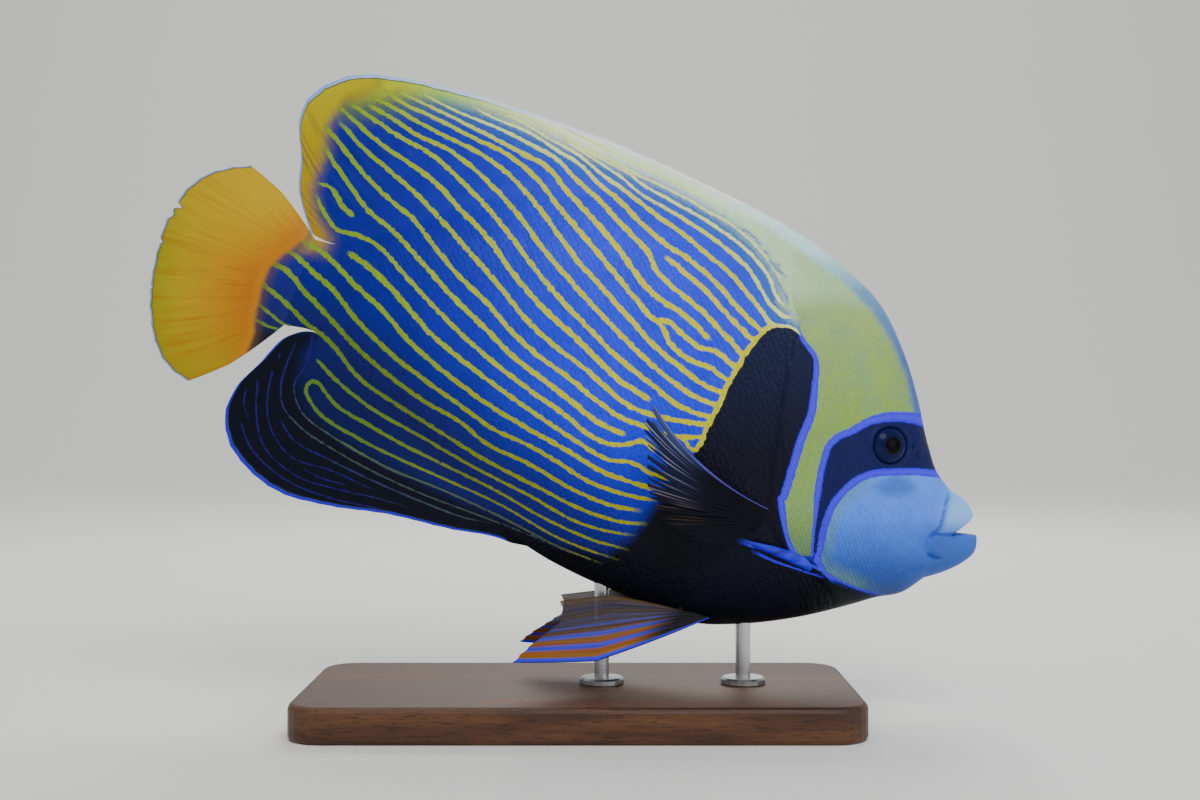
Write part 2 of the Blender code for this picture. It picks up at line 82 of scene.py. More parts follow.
for lightName, (spot, aim, size, watts, tint) in studio["lights"].items():
    lamp = bpy.data.lights.new(lightName, "AREA")
    lamp.shape, lamp.size, lamp.energy, lamp.color = "DISK", size, watts, tint
    lampObject = bpy.data.objects.new(lightName, lamp)
    lampObject.location = spot
    lampObject.rotation_euler = (Vector(aim) - Vector(spot)).to_track_quat("-Z", "Y").to_euler()
    bpy.context.scene.collection.objects.link(lampObject)
world = bpy.data.worlds.new("studio")
world.use_nodes = True
world.node_tree.nodes["Background"].inputs["Color"].default_value = (*studio["sky"], 1)
world.node_tree.nodes["Background"].inputs["Strength"].default_value = studio["skyStrength"]
bpy.context.scene.world = world


def addNode(tree, kind, *values, out=0, stops=(), **settings):
    # one node: its settings, then a value or a link for each input; hands back an output, so calls nest
    node = tree.nodes.new("ShaderNode" + kind)
    for key, value in settings.items():
        setattr(node, key, value)
    for k, (at, code) in enumerate(stops):
        mark = node.color_ramp.elements[k] if k < 2 else node.color_ramp.elements.new(at)
        mark.position, mark.color = at, srgb(code)
    for socket, value in zip([s for s in node.inputs if s.enabled], values):
        if isinstance(value, bpy.types.NodeSocket):
            tree.links.new(value, socket)
        elif value is not None:
            socket.default_value = srgb(value) if isinstance(value, str) else value
    return [s for s in node.outputs if s.enabled][out]


# settings that many nodes share
eased = {"interpolation_type": "SMOOTHSTEP"}
times = {"operation": "MULTIPLY"}
plus = {"operation": "ADD"}
timesPlus = {"operation": "MULTIPLY_ADD"}
colourMix = {"data_type": "RGBA"}

# the fish's own axes: x forward from the root of the tail, y to its left, z to the dorsal fin, in metres
pose = {
    "headDown": math.radians(20),
    "tailRoot": np.array([-114.0, 0.0, 174.0]) * mm,
    "sweepFrom": 60 * mm,
    "sweepSpan": 120 * mm,
    "tailSweep": 6 * mm,
}
bodyShape = {
    # in millimetres: (x, z) along the back and the belly, then (x, half width)
    "back": [(0, 20.5), (9, 21.6), (20, 28), (36, 41), (62, 61), (100, 79), (140, 88), (184, 89), (204, 83),
             (221, 75.5), (239, 58.8), (250, 44.2), (261, 27), (268, 18.2), (275.4, 13.2)],
    "belly": [(0, -16), (13, -14.5), (26, -19), (44, -28.5), (66, -40.5), (100, -57.5), (125, -66.8),
              (150, -70.6), (175, -71.6), (197, -72.4), (214, -66.7), (234, -56.8), (254.7, -43.2),
              (262.4, -37.6), (270.5, -32.9), (277.5, -23.8)],
    "halfWidths": [(0, 4.6), (14, 7.5), (40, 13), (80, 18.5), (130, 23), (180, 25.5), (210, 25.5),
                   (235, 22.5), (250, 19.2), (262, 15.6), (270, 13), (278, 11)],
    "finnedEdge": 1.6 * mm,
    "bareEdge": 0.8 * mm,
    "dorsalFades": (165 * mm, 215 * mm),
    "analFades": (105 * mm, 170 * mm),
    "fullness": (2.1, 0.4),  # of a bare edge, and how much more a finned one has
    "taper": (0.55, 0.5),
    "tailFades": (6 * mm, 16 * mm),  # the fillets along the fins begin here
    # lines from belly to back: x on the back, x on the belly, how far the line bows to the rear
    "stations": np.array([(0, 0, 0), (28, 28, 0), (100, 108, 3), (150, 180, 10), (186, 246, 17),
                          (226, 264, 11), (256, 271, 6), (275.4, 277.5, 4.9)]) * mm,
    "bowSkew": 0.45,
    "gillStation": 4,
    "gillFlare": 0.27 * mm,  # the fold of the gill cover adds the rest
    "gillReach": 0.5,
    "coatDepth": 0.2 * mm,  # the skin lies this far inside the solids, and the scales fill the rest
}
lips = {
    "upper": [(275.4, 13.2), (281.5, 11.8), (285.9, 9.0), (287.7, 6.4), (286.6, 4.4), (283, 3), (279, 1.5)],
    "lower": [(277.5, -23.8), (284, -18.9), (290.2, -12.6), (293.3, -6.5), (291.6, -0.4), (288, -3),
              (283, -6)],
    "corner": [(271.5, -5.8), (275.5, -5.4), (278.8, -4.8), (280.6, -4.2), (280.2, -3.8), (277.5, -3.4),
               (274.5, -3.2)],
    "cornerHalfWidth": [12.3, 11.5, 10, 8.2, 6.6, 5, 3.4],
    "edge": 0.5 * mm,
    "fullness": 0.85,
}


def hermite(knots, values, at):
    knots, values, at = (np.asarray(a, float) for a in (knots, values, at))
    slopes = np.gradient(values, knots, axis=0)
    i = np.clip(np.searchsorted(knots, at, side="right") - 1, 0, len(knots) - 2)
    span = knots[i + 1] - knots[i]
    t = (at - knots[i]) / span
    if values.ndim > 1:
        t, span = t[..., None], span[..., None]
    return ((1 + 2 * t) * (1 - t) ** 2 * values[i] + t * (1 - t) ** 2 * span * slopes[i]
            + t * t * (3 - 2 * t) * values[i + 1] + t * t * (t - 1) * span * slopes[i + 1])


def stepLengths(line):  # how far along a line each of its points is
    return np.concatenate([[0], np.cumsum(np.linalg.norm(np.diff(line, axis=0), axis=1))])


def smoothLine(points, shares, steps=400):  # points at these shares of a smooth line through the given ones
    points = np.asarray(points, float)
    knots = stepLengths(points)
    fine = hermite(knots, points, np.linspace(0, knots[-1], steps))
    length = stepLengths(fine)
    at = np.asarray(shares, float) * length[-1]
    return np.stack([np.interp(at, length, fine[:, k]) for k in range(points.shape[1])], axis=-1)


def smoothLineMm(points, shares):  # the same for points in millimetres
    return smoothLine(np.asarray(points, float) * mm, shares)


backLine = smoothLineMm(bodyShape["back"], np.linspace(0, 1, 400)).T
bellyLine = smoothLineMm(bodyShape["belly"], np.linspace(0, 1, 400)).T


def backZ(x):
    return np.interp(x, *backLine)


def bellyZ(x):
    return np.interp(x, *bellyLine)


def ease(value, low, high):  # 0 up to low, 1 from high on, smooth between them
    t = np.clip((value - low) / (high - low), 0, 1)
    return t * t * (3 - 2 * t)


def halfWidth(x, z):  # half the body's thickness at a point of the side view
    x, z = np.asarray(x, float), np.asarray(z, float)
    top, bottom = backZ(x), bellyZ(x)
    share = np.clip((2 * z - top - bottom) / (top - bottom), -1, 1)
    finned = 1 - np.where(share > 0, ease(x, *bodyShape["dorsalFades"]), ease(x, *bodyShape["analFades"]))
    table = np.array(bodyShape["halfWidths"]) * mm
    widest = hermite(table[:, 0], table[:, 1], np.clip(x, 0, table[-1, 0]))
    edge = bodyShape["bareEdge"] + (bodyShape["finnedEdge"] - bodyShape["bareEdge"]) * finned
    fullness, taper = (bodyShape[k][0] + bodyShape[k][1] * finned for k in ("fullness", "taper"))
    return edge + (widest - edge) * (1 - np.abs(share) ** fullness) ** taper


def place(points):  # from the fish's own axes to the world
    points = np.array(points, float)
    x, y, z = points[..., 0], points[..., 1], points[..., 2]
    y = y + pose["tailSweep"] * np.clip((pose["sweepFrom"] - x) / pose["sweepSpan"], 0, None) ** 2
    c, s = math.cos(pose["headDown"]), math.sin(pose["headDown"])
    return np.stack([x * c + z * s, y, z * c - x * s], axis=-1) + pose["tailRoot"]


def toPhoto(points):  # where a point of either flank falls in the photograph, in its pixels
    points = np.array(points, float)
    points[..., 1] = -np.abs(points[..., 1])
    world = place(points)
    cx, cy, cz = cameraSetup["place"]
    zoom = cameraSetup["pictureWidth"] * cameraSetup["lens"] / cameraSetup["sensor"]
    depth = world[..., 1] - cy
    return np.stack([cameraSetup["pictureWidth"] / 2 + (world[..., 0] - cx) / depth * zoom,
                     cameraSetup["pictureHeight"] / 2 - (world[..., 2] - cz) / depth * zoom], axis=-1)


# markings, traced over the photograph and given in its pixels; first the edges that two of them share
edges = {
    "patchFront": [(809, 348), (815, 357), (816, 370), (815, 385), (813, 400), (811, 415), (806, 428),
                   (800, 443), (796, 457), (792, 470), (788, 484), (781, 499), (783, 515), (786, 532),
                   (791, 547), (796, 556)],
    "patchRear": [(771, 325), (765, 330), (756, 340), (744, 356), (737, 369), (730, 380), (724, 393),
                  (719, 406), (712, 418), (706, 430), (699, 446)],
    "maskTop": [(817, 500), (820, 478), (824, 460), (829, 446), (838, 437), (852, 431), (870, 421),
                (890, 417), (912, 418)],
    "faceTop": [(820, 548), (823, 532), (828, 516), (834, 503), (845, 490), (857, 480), (872, 474),
                (895, 472), (920, 472)],
    "lowest": [(333, 437), (386, 467), (445, 491), (513, 523), (557, 546), (603, 564)],
}
# each line: its points, its widths at the two ends, and how far it takes to fade in and out there
yellowLines = {
    "nape0": ([(560, 126), (600, 146), (640, 166), (680, 185), (704, 198), (724, 210), (742, 223)],
              (1.5, 1.5), (40, 30)),
    "nape1": ([(520, 114), (540, 124), (560, 134), (580, 145), (600, 155), (620, 165), (640, 176),
               (660, 185), (676, 193), (690, 200), (707, 211), (731, 224), (751, 241), (766, 257),
               (779, 277), (788, 300)], (1.5, 2.4), (40, 35)),
    "nape2": ([(560, 137), (580, 148), (600, 158), (619, 168), (630, 174), (639, 182), (650, 189),
               (663, 196), (677, 204), (690, 211), (716, 227), (736, 241), (759, 263), (770, 279),
               (777, 297), (790, 312)], (1.6, 3.2), (20, 22)),
    "nape3": ([(560, 137), (580, 150), (606, 167), (621, 177), (641, 194), (669, 210), (699, 229),
               (724, 247), (750, 271), (761, 289), (773, 307), (787, 317), (796, 317)], (1.7, 3.6), (20, 14)),
    "back1": ([(500, 111), (520, 121), (550, 139), (580, 156), (604, 176), (620, 187), (633, 197),
               (659, 217), (683, 234), (707, 254), (733, 276), (747, 293), (761, 310), (771, 324)],
              (1.8, 4.0), (20, 0)),
    "back2": ([(470, 105), (490, 116), (530, 133), (557, 150), (579, 164), (599, 184), (620, 201),
               (641, 223), (664, 243), (690, 260), (716, 283), (740, 310), (760, 330)], (2.0, 4.4), (20, 0)),
    "inner1": ([(665, 256), (683, 271), (709, 294), (733, 321), (753, 340)], (4.2, 4.4), (6, 0)),
    "back3": ([(419, 91), (440, 103), (461, 113), (500, 129), (530, 144), (559, 161), (574, 177),
               (600, 201), (624, 227), (649, 254), (657, 271), (673, 287), (700, 309), (723, 333),
               (744, 356)], (2.2, 4.6), (14, 0)),
    "back4": ([(394, 89), (414, 99), (444, 113), (480, 131), (520, 152), (549, 169), (567, 191), (593, 219),
               (620, 251), (643, 283), (657, 297), (683, 314), (709, 339)], (2.4, 4.9), (14, 4)),
    "back5": ([(383, 89), (403, 103), (433, 117), (470, 136), (511, 157), (537, 179), (559, 207),
               (587, 240), (613, 271), (639, 303), (656, 320), (669, 322), (681, 333), (699, 347),
               (717, 352), (731, 364), (737, 369)], (3.2, 4.6), (12, 0)),
    "fork5": ([(656, 320), (662, 327), (671, 344), (690, 360), (709, 367), (726, 379)], (4.6, 4.6), (0, 0)),
    "back6": ([(371, 97), (387, 104), (413, 119), (441, 134), (481, 154), (500, 167), (530, 197),
               (553, 227), (577, 260), (603, 289), (630, 319), (656, 347), (679, 366), (706, 386),
               (725, 393)], (3.4, 4.6), (10, 0)),
    "side1": ([(367, 104), (390, 117), (419, 136), (447, 149), (474, 169), (496, 190), (520, 217),
               (547, 254), (570, 280), (596, 309), (623, 337), (650, 363), (680, 387), (700, 399),
               (719, 406)], (3.6, 4.4), (10, 0)),
    "side2": ([(347, 101), (369, 116), (400, 137), (431, 154), (457, 177), (481, 201), (506, 230),
               (529, 261), (556, 294), (589, 329), (621, 360), (650, 383), (681, 407), (711, 418)],
              (3.6, 4.4), (14, 0)),
    "side3": ([(336, 104), (357, 123), (381, 144), (409, 163), (437, 184), (461, 210), (487, 237),
               (513, 273), (544, 309), (579, 341), (601, 363), (619, 380), (649, 399)], (3.6, 4.8), (14, 3)),
    "side4": ([(339, 121), (364, 149), (390, 171), (416, 194), (444, 223), (474, 257), (500, 287),
               (527, 320), (556, 347), (584, 368), (601, 383), (620, 400), (649, 414), (680, 421),
               (709, 425)], (3.8, 4.4), (12, 0)),
    "side5": ([(323, 123), (340, 144), (363, 173), (387, 197), (411, 217), (437, 250), (459, 276),
               (490, 306), (510, 330), (540, 357), (570, 379), (600, 403), (620, 417), (643, 426),
               (665, 434), (683, 437), (700, 437)], (3.8, 4.2), (14, 0)),
    "loop5": ([(683, 438), (687, 444), (693, 450), (699, 446)], (3.6, 3.6), (0, 0)),
    "side6": ([(325, 146), (333, 161), (347, 181), (367, 209), (393, 231), (419, 259), (450, 294),
               (487, 330), (510, 354), (540, 377), (571, 401), (603, 425), (624, 434)], (3.8, 4.6), (12, 3)),
    "side7": ([(316, 195), (325, 214), (338, 230), (357, 235), (372, 242), (410, 281), (450, 323),
               (492, 361), (527, 388), (570, 419), (591, 436), (614, 445), (629, 444), (641, 441),
               (656, 452)], (3.6, 4.2), (12, 6)),
    "lobe1": ([(318, 183), (331, 188), (342, 205), (352, 215)], (2.6, 4.6), (6, 0)),
    "side8": ([(349, 253), (369, 267), (399, 297), (430, 333), (463, 361), (499, 388), (537, 415),
               (579, 443), (607, 459), (636, 464), (650, 473), (671, 480)], (5.0, 3.8), (3, 12)),
    "side9": ([(298, 235), (304, 240), (327, 256), (353, 283), (386, 314), (409, 341), (443, 371),
               (489, 405), (529, 429), (573, 454), (599, 470), (637, 484), (657, 490)], (4.4, 4.0), (0, 14)),
    "side10": ([(276, 246), (290, 252), (311, 270), (334, 291), (356, 319), (390, 353), (419, 376),
                (457, 403), (497, 431), (526, 444), (556, 461), (584, 479), (623, 494), (656, 501)],
               (4.6, 3.6), (0, 14)),
    "side11": ([(262, 261), (283, 268), (304, 291), (329, 317), (353, 344), (387, 374), (427, 403),
                (459, 421), (487, 444), (527, 463), (576, 491), (614, 506), (641, 511)], (4.6, 3.4), (0, 16)),
    "side12": ([(256, 277), (270, 290), (290, 307), (306, 323), (329, 341), (357, 376), (396, 404),
                (437, 430), (480, 457), (541, 489), (583, 510), (629, 523), (647, 524)], (4.2, 3.2), (0, 22)),
    "root1": ([(254, 300), (268, 312), (282, 323), (300, 330)], (3.6, 2.6), (0, 10)),
    "root2": ([(254, 319), (268, 326), (280, 330)], (3.0, 2.4), (0, 8)),
    "low1": ([(317, 360), (337, 381), (371, 408), (420, 436), (470, 465), (530, 496), (580, 523),
              (624, 534), (635, 535)], (3.2, 2.6), (4, 30)),
    "low2": ([(312, 381), (318, 383), (323, 389), (333, 402), (367, 424), (400, 443), (440, 463),
              (489, 487), (550, 521), (593, 540), (629, 550)], (3.2, 2.4), (0, 34)),
    "low3": ([(312, 381), (307, 385), (306, 392), (310, 401), (319, 413), (354, 436), (393, 456),
              (440, 477), (499, 504), (561, 539), (606, 556), (619, 560)], (3.2, 2.0), (0, 40)),
    "low4": (edges["lowest"], (1.8, 1.6), (30, 40)),
    "patchRear": ([*edges["patchRear"], (694, 452)], (4.6, 4.6), (0, 4)),
    "patchTop": ([(771, 325), (780, 326), (790, 327), (797, 331), (801, 336)], (4.4, 2.4), (0, 6)),
}
blueLines = {
    "anal0": ([(313, 333), (306, 364), (294, 386), (300, 409), *edges["lowest"]], (1.7, 1.4), (4, 50)),
    "anal1": ([(296, 343), (287, 363), (281, 384), (283, 406), (297, 424), (336, 451), (376, 473),
               (420, 493), (470, 512), (527, 534), (570, 553)], (1.7, 1.4), (4, 50)),
    "anal2": ([(280, 419), (291, 437), (330, 460), (369, 479), (420, 501), (470, 519), (490, 523)],
              (1.7, 1.4), (6, 40)),
    "anal3": ([(273, 370), (268, 391), (271, 429), (290, 456), (330, 470), (376, 491)], (1.7, 1.4), (4, 20)),
    "anal4": ([(258, 380), (256, 406), (264, 446), (297, 476), (341, 490), (376, 498), (410, 508)],
              (1.7, 1.3), (4, 40)),
    "anal5": ([(303, 469), (324, 479), (347, 485)], (1.5, 1.4), (6, 8)),
    "anal6": ([(246, 389), (244, 401), (248, 419)], (1.7, 1.6), (3, 5)),
    "anal7": ([(241, 423), (247, 441), (280, 476), (334, 499), (370, 507), (412, 517)], (1.7, 1.3), (4, 50)),
    "anal8": ([(280, 353), (278, 361)], (1.8, 1.6), (2, 3)),
    "fleck1": ([(741, 229), (749, 233), (757, 240), (761, 246)], (3.0, 2.4), (3, 4)),
    "fleck2": ([(764, 252), (770, 254)], (3.0, 2.4), (1, 2)),
    "fleck3": ([(775, 263), (780, 266)], (3.2, 2.6), (1, 2)),
    "fleck4": ([(768, 258), (774, 266), (780, 272), (787, 277)], (2.6, 2.6), (4, 3)),
    "fleck5": ([(772, 272), (779, 284), (785, 294), (789, 303)], (2.6, 2.6), (4, 3)),
    "fleck6": ([(775, 300), (782, 309), (790, 315)], (2.6, 2.4), (3, 3)),
}
violetLines = {
    "patchFront": ([(800, 334), (803, 340), (809, 348), (815, 357), (816.5, 370), (815, 385), (813.5, 400),
                    (811, 415), (806, 428), (800, 443), (796, 457), (792, 470), (788, 484), (784, 496)],
                   (4.5, 8.5), (4, 0)),
    "patchFoot": ([(781, 499), (783, 515), (786, 532), (791, 547), (797, 557)], (7.5, 5.0), (0, 2)),
    "maskTop": ([(932, 424), *edges["maskTop"][::-1]], (11.5, 7.0), (0, 0)),
    "maskRear": ([(817, 500), (815, 520), (813, 540), (812, 556)], (5.5, 3.0), (0, 0)),
    "faceEdge": ([(940, 474), *edges["faceTop"][::-1], (817, 560), (824, 572), (838, 581)],
                 (7.5, 7.5), (0, 10)),
    "throat": ([(740, 541), (760, 547), (784, 556), (806, 563), (822, 571), (842, 582), (862, 590),
                (884, 595)], (6.0, 2.6), (14, 24)),
    "throatLow": ([(752, 551), (774, 561), (800, 570), (824, 578)], (3.4, 2.4), (14, 12)),
}
# each region: the points round it
regions = {
    "nape": [(520, 100), (560, 137), (600, 152), (650, 178), (690, 195), (724, 214), (748, 230), (770, 252),
             (783, 274), (791, 296), (797, 316), (803, 338), *edges["patchFront"], (811, 556), (814, 530),
             *edges["maskTop"], (945, 424), (990, 380), (930, 240), (800, 150), (640, 70), (520, 70)],
    "mask": [(945, 424), *edges["maskTop"][::-1], (814, 530), (811, 556), (816, 560), *edges["faceTop"],
             (950, 474), (970, 450)],
    "face": [(960, 476), (940, 474), *edges["faceTop"][::-1], (817, 560), (824, 572), (838, 581),
             (860, 589), (884, 595), (905, 600), (930, 640), (1040, 640), (1040, 440)],
    "patch": [*edges["patchRear"], (694, 455), (680, 490), (690, 600), (800, 620),
              *edges["patchFront"][::-1], (803, 340), (797, 332), (788, 327)],
    "belly": [(318, 333), (300, 352), (296, 380), (305, 412), (345, 446), (420, 484), (500, 518),
              (560, 546), (606, 556), (632, 540), (650, 515), (664, 495), (680, 474), (694, 455),
              (760, 440), (800, 556), (817, 562), (838, 581), (884, 596), (930, 640), (930, 760),
              (180, 760), (180, 360), (262, 331)],
    "tail": [(309, 228), (304, 240), (288, 252), (270, 266), (261, 286), (257, 312), (255, 331), (244, 362),
             (206, 398), (120, 400), (110, 140), (262, 118), (306, 204)],
    "lobe": [(290, 130), (296, 84), (340, 60), (380, 60), (376, 84), (360, 92), (344, 102), (336, 116),
             (330, 130), (326, 150), (320, 172), (314, 190), (316, 208), (324, 226), (331, 238), (326, 252),
             (300, 250), (280, 190)],
    "crest": [(340, 50), (352, 98), (372, 95), (400, 90), (436, 93), (470, 101), (500, 111), (540, 128),
              (580, 146), (620, 163), (660, 178), (700, 199), (736, 222), (758, 242), (773, 262),
              (782, 284), (788, 306), (796, 318), (820, 330), (1000, 330), (1000, 50)],
    "brow": [(690, 186), (730, 206), (770, 228), (806, 254), (842, 280), (872, 310), (893, 342), (907, 376),
             (916, 420), (975, 424), (975, 200), (800, 120), (690, 120)],
}

lineSetup = {
    "sampling": 1.5,  # samples to a pixel
    "widensBy": 0.6,  # the second width is reached at this share of the length
    "faintest": 0.12,  # how strong a fading line still is at its end
}
gridSetup = {"across": (130, 1000), "down": (60, 700), "step": 2.0}  # pixels over which regions are measured
faceSetup = {
    "spots": [((896, 487), (21, 11), 1.0), ((933, 538), (13, 19), 0.6)],  # spots of painted shade, under the mask and in the fold at the mouth's corner: middle, half size, strength
    # each fold: width and strength of the painted shade along it
    "folds": {"maxilla": (0.55 * mm, 0.75), "mouth": (0.7 * mm, 0.85), "chinFold": (0.8 * mm, 0.3),
              "cheekEdge": (0.9 * mm, 0.25)},
    "lipFrom": (271 * mm, 279 * mm),
    "lipAmount": 0.6,
}


def pointTree(samples):
    tree = kdtree.KDTree(len(samples))
    for k, (u, v) in enumerate(samples):
        tree.insert((u, v, 0), k)
    tree.balance()
    return tree


def lineTree(lines):  # all lines of a kind as samples, with the width and the strength at each
    samples, widths, shows = [], [], []
    faintest = lineSetup["faintest"]
    for points, (first, last), fades in lines.values():
        length = stepLengths(np.array(points, float))[-1]
        count = max(8, int(length * lineSetup["sampling"]))
        share = np.linspace(0, 1, count)
        samples.append(smoothLine(points, share, max(400, 2 * count)))
        widths.append(first + (last - first) * ease(share, 0.0, lineSetup["widensBy"]))
        show = np.ones(count)
        for fromEnd, fade in zip((share, 1 - share), fades):
            if fade:
                show *= faintest + (1 - faintest) * ease(fromEnd * length, -1, fade)
        shows.append(show)
    samples = np.concatenate(samples)
    return pointTree(samples), np.concatenate(widths), np.concatenate(shows)


def nearest(tree, spots):  # which sample is nearest to each spot, and how far away it is
    found = [tree.find((u, v, 0))[1:] for u, v in spots.tolist()]
    return np.array(found, float).reshape(-1, 2).T


def regionTree(points):
    loop = np.array(points + points[:1], float)
    sides = []
    for a, b in zip(loop, loop[1:]):
        share = np.linspace(0, 1, max(2, int(np.linalg.norm(b - a))), endpoint=False)
        sides.append(a + (b - a) * share[:, None])
    return pointTree(np.concatenate(sides))


lineTrees = {name: lineTree(lines) for name, lines in
             (("yellow", yellowLines), ("blue", blueLines), ("violet", violetLines))}


def regionGrid(points):  # signed distances inside a region, on a coarse grid over the fish
    us, vs = (np.arange(*gridSetup[k], gridSetup["step"]) for k in ("across", "down"))
    uu, vv = np.meshgrid(us, vs, indexing="ij")
    spots = np.stack([uu.ravel(), vv.ravel()], axis=-1)
    distance = nearest(regionTree(points), spots)[1]
    inside = np.zeros(len(spots), bool)
    loop = np.array(points, float)
    for (ax, ay), (bx, by) in zip(loop, np.roll(loop, -1, axis=0)):
        crosses = (ay > spots[:, 1]) != (by > spots[:, 1])
        if ay != by:
            inside ^= crosses & (spots[:, 0] < (bx - ax) * (spots[:, 1] - ay) / (by - ay) + ax)
    return np.where(inside, distance, -distance).reshape(uu.shape)


regionGrids = {name: regionGrid(points) for name, points in regions.items()}


def readGrid(grid, spots):
    u, v = (np.clip((spots[:, k] - gridSetup[way][0]) / gridSetup["step"], 0, grid.shape[k] - 1.001)
            for k, way in enumerate(("across", "down")))
    i, j = u.astype(int), v.astype(int)
    a, b = u - i, v - j
    return (grid[i, j] * (1 - a) * (1 - b) + grid[i + 1, j] * a * (1 - b)
            + grid[i, j + 1] * (1 - a) * b + grid[i + 1, j + 1] * a * b)


def markings(points):  # the float attributes of every marked piece, from points in the fish's own axes
    spots = toPhoto(points).reshape(-1, 2)
    made = {}
    for name, (tree, widths, shows) in lineTrees.items():
        index, distance = nearest(tree, spots)
        index = index.astype(int)
        made[name + "Line"] = distance / (widths[index] / 2)
        made[name + "Show"] = shows[index]
    for name, grid in regionGrids.items():
        made[name] = readGrid(grid, spots)
    made["across"], made["down"] = spots.T / 1000  # in thousands of pixels
    made["faceShadeSpot"] = np.zeros(len(spots))
    for middle, size, strength in faceSetup["spots"]:
        u, v = (spots - middle).T / np.array(size)[:, None]
        made["faceShadeSpot"] = np.maximum(made["faceShadeSpot"], strength * np.exp(-(u * u + v * v) ** 2))
    return made


print("markings traced:", len(yellowLines) + len(blueLines) + len(violetLines), "lines")


def addMesh(name, points, quads, uvs=None, attributes=None, normals=None, material=None):
    mesh = bpy.data.meshes.new(name)
    points = np.asarray(points, np.float32)
    quads = np.asarray(quads, np.int32)
    size = quads.shape[1]
    mesh.vertices.add(len(points))
    mesh.vertices.foreach_set("co", points.ravel())
    mesh.loops.add(quads.size)
    mesh.loops.foreach_set("vertex_index", quads.ravel())
    mesh.polygons.add(len(quads))
    mesh.polygons.foreach_set("loop_start", np.arange(len(quads), dtype=np.int32) * size)
    mesh.update(calc_edges=True)
    mesh.validate()
    mesh.shade_smooth()
    if uvs is not None:
        layer = mesh.uv_layers.new(name="OFBake")
        layer.data.foreach_set("uv", np.asarray(uvs, np.float32)[quads.ravel()].ravel())
    for key, values in (attributes or {}).items():
        made = mesh.attributes.new(key, "FLOAT", "POINT")
        made.data.foreach_set("value", np.asarray(values, np.float32).ravel())
    if normals is not None:
        mesh.normals_split_custom_set_from_vertices(np.asarray(normals, float).reshape(-1, 3).tolist())
    piece = bpy.data.objects.new(name, mesh)
    bpy.context.scene.collection.objects.link(piece)
    if material is not None:
        mesh.materials.append(material)
    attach(piece, "root")
    return piece


def gridQuads(rows, columns, flip=False, start=0):  # the faces between neighbouring points of a grid
    index = np.arange(rows * columns).reshape(rows, columns) + start
    corners = (index[:-1, :-1], index[1:, :-1], index[1:, 1:], index[:-1, 1:])
    if flip:
        corners = corners[::-1]
    return np.stack([c.ravel() for c in corners], axis=-1)


def gridNormals(grid):
    u, v = np.gradient(grid, axis=0), np.gradient(grid, axis=1)
    normal = np.cross(u, v)
    return normal / np.maximum(np.linalg.norm(normal, axis=-1, keepdims=True), 1e-12)


def unwrapped(along, up, shape):  # places on the map for both faces of a sheet, one above the other
    u = np.broadcast_to(along / along.max() * 0.98 + 0.01, shape)
    v = np.broadcast_to(up / up.max() * 0.48 + 0.01, shape)
    uvs = np.concatenate([np.stack([u, v + lift], axis=-1).reshape(-1, 2) for lift in (0, 0.5)])
    return u, v, uvs


# skin: one surface over tail stem, torso, head and lips
skinSetup = {
    "bodySteps": 150,
    "headSteps": 105,
    "lipSteps": (30, 16),  # over the rim of the lips, then into the mouth
    "ringSteps": 142,
    "ringBunching": 0.45,  # how much closer the points lie at back and belly
    "filletReach": 6 * mm,  # how softly the flank runs out into a fin
    "finSlope": 0.07,
    "steepest": 0.6,
    "slopeStep": 1.5 * mm,
    "eyeAt": (243.8, 21.2),
    "eyeRadius": 7.1 * mm,
    "nostrils": [(253.5, 24), (256.3, 21.6)],
    "maxilla": [(274.6, 13.4), (274.2, 6), (274.4, -2.8), (272.2, -8.2), (272.9, -13), (276.5, -14.6),
                (281, -13.2)],
    "gillEdge": [(194, 70), (195, 41), (199.5, 12), (204, -8), (210, -24), (221, -32.5), (236, -38),
                 (250, -46)],
    "cheekEdge": [(228, 30), (227, 10), (228.5, -12), (233, -26), (240, -33)],
    "chinFold": [(262, -30), (268, -24), (275, -19)],
    "mouth": [(272, -5.7), (276, -4.9), (281, -3.0), (286, -1.2)],
}
foldSetup = {
    "coatFades": 5 * mm,  # the skin comes up to the solids this far from the fins, and along the snout
    "coatEnds": (262 * mm, 276 * mm),
    "eyeRims": [(1.13, 0.95 * mm, 0.55 * mm), (1.42, 1.3 * mm, -0.35 * mm)],  # eye radii out, width, height
    "socket": (0.9, 1.04, 3.2 * mm),  # eye radii in and out, depth
    "nostrilRim": (1.45 * mm, 0.45 * mm, 0.35 * mm),  # radius, width, height
    "nostrilPit": (0.45 * mm, 1.15 * mm, 1.3 * mm),  # inner and outer radius, depth
    "edgeRise": -0.5 * mm,  # where a raised edge begins and where its top lies, off its line
    "edgeTop": 1 * mm,
    # each edge: height, shares at which its ends have faded, where it has risen and where it has run out
    "edges": {"gillEdge": (0.75 * mm, (0.12, 0.9), 0.5 * mm, 14 * mm),
              "cheekEdge": (0.4 * mm, (0.15, 0.85), 0.6 * mm, 10 * mm)},
    # each groove: depth, width, shares at which its ends have faded
    "grooves": {"maxilla": (1.15 * mm, 0.75 * mm, (0.08, 0.9)),
                "chinFold": (0.3 * mm, 1.2 * mm, (0.2, 0.8))},
    "maxillaRidge": (2.6 * mm, 1.7 * mm, 0.55 * mm),  # how far from the groove, width, height
}


def stationLine(s, share):  # side-view points on station line s, at shares of the way from belly to back
    onBack, onBelly, bow = hermite(range(len(bodyShape["stations"])), bodyShape["stations"], s).T[..., None]
    low = np.stack([onBelly, bellyZ(onBelly)], axis=-1)
    high = np.stack([onBack, backZ(onBack)], axis=-1)
    line = low + (high - low) * share[None, :, None]
    line[..., 0] -= bow * 4 * share * (1 - share) * (1 + bodyShape["bowSkew"] * (1 - 2 * share))
    return line


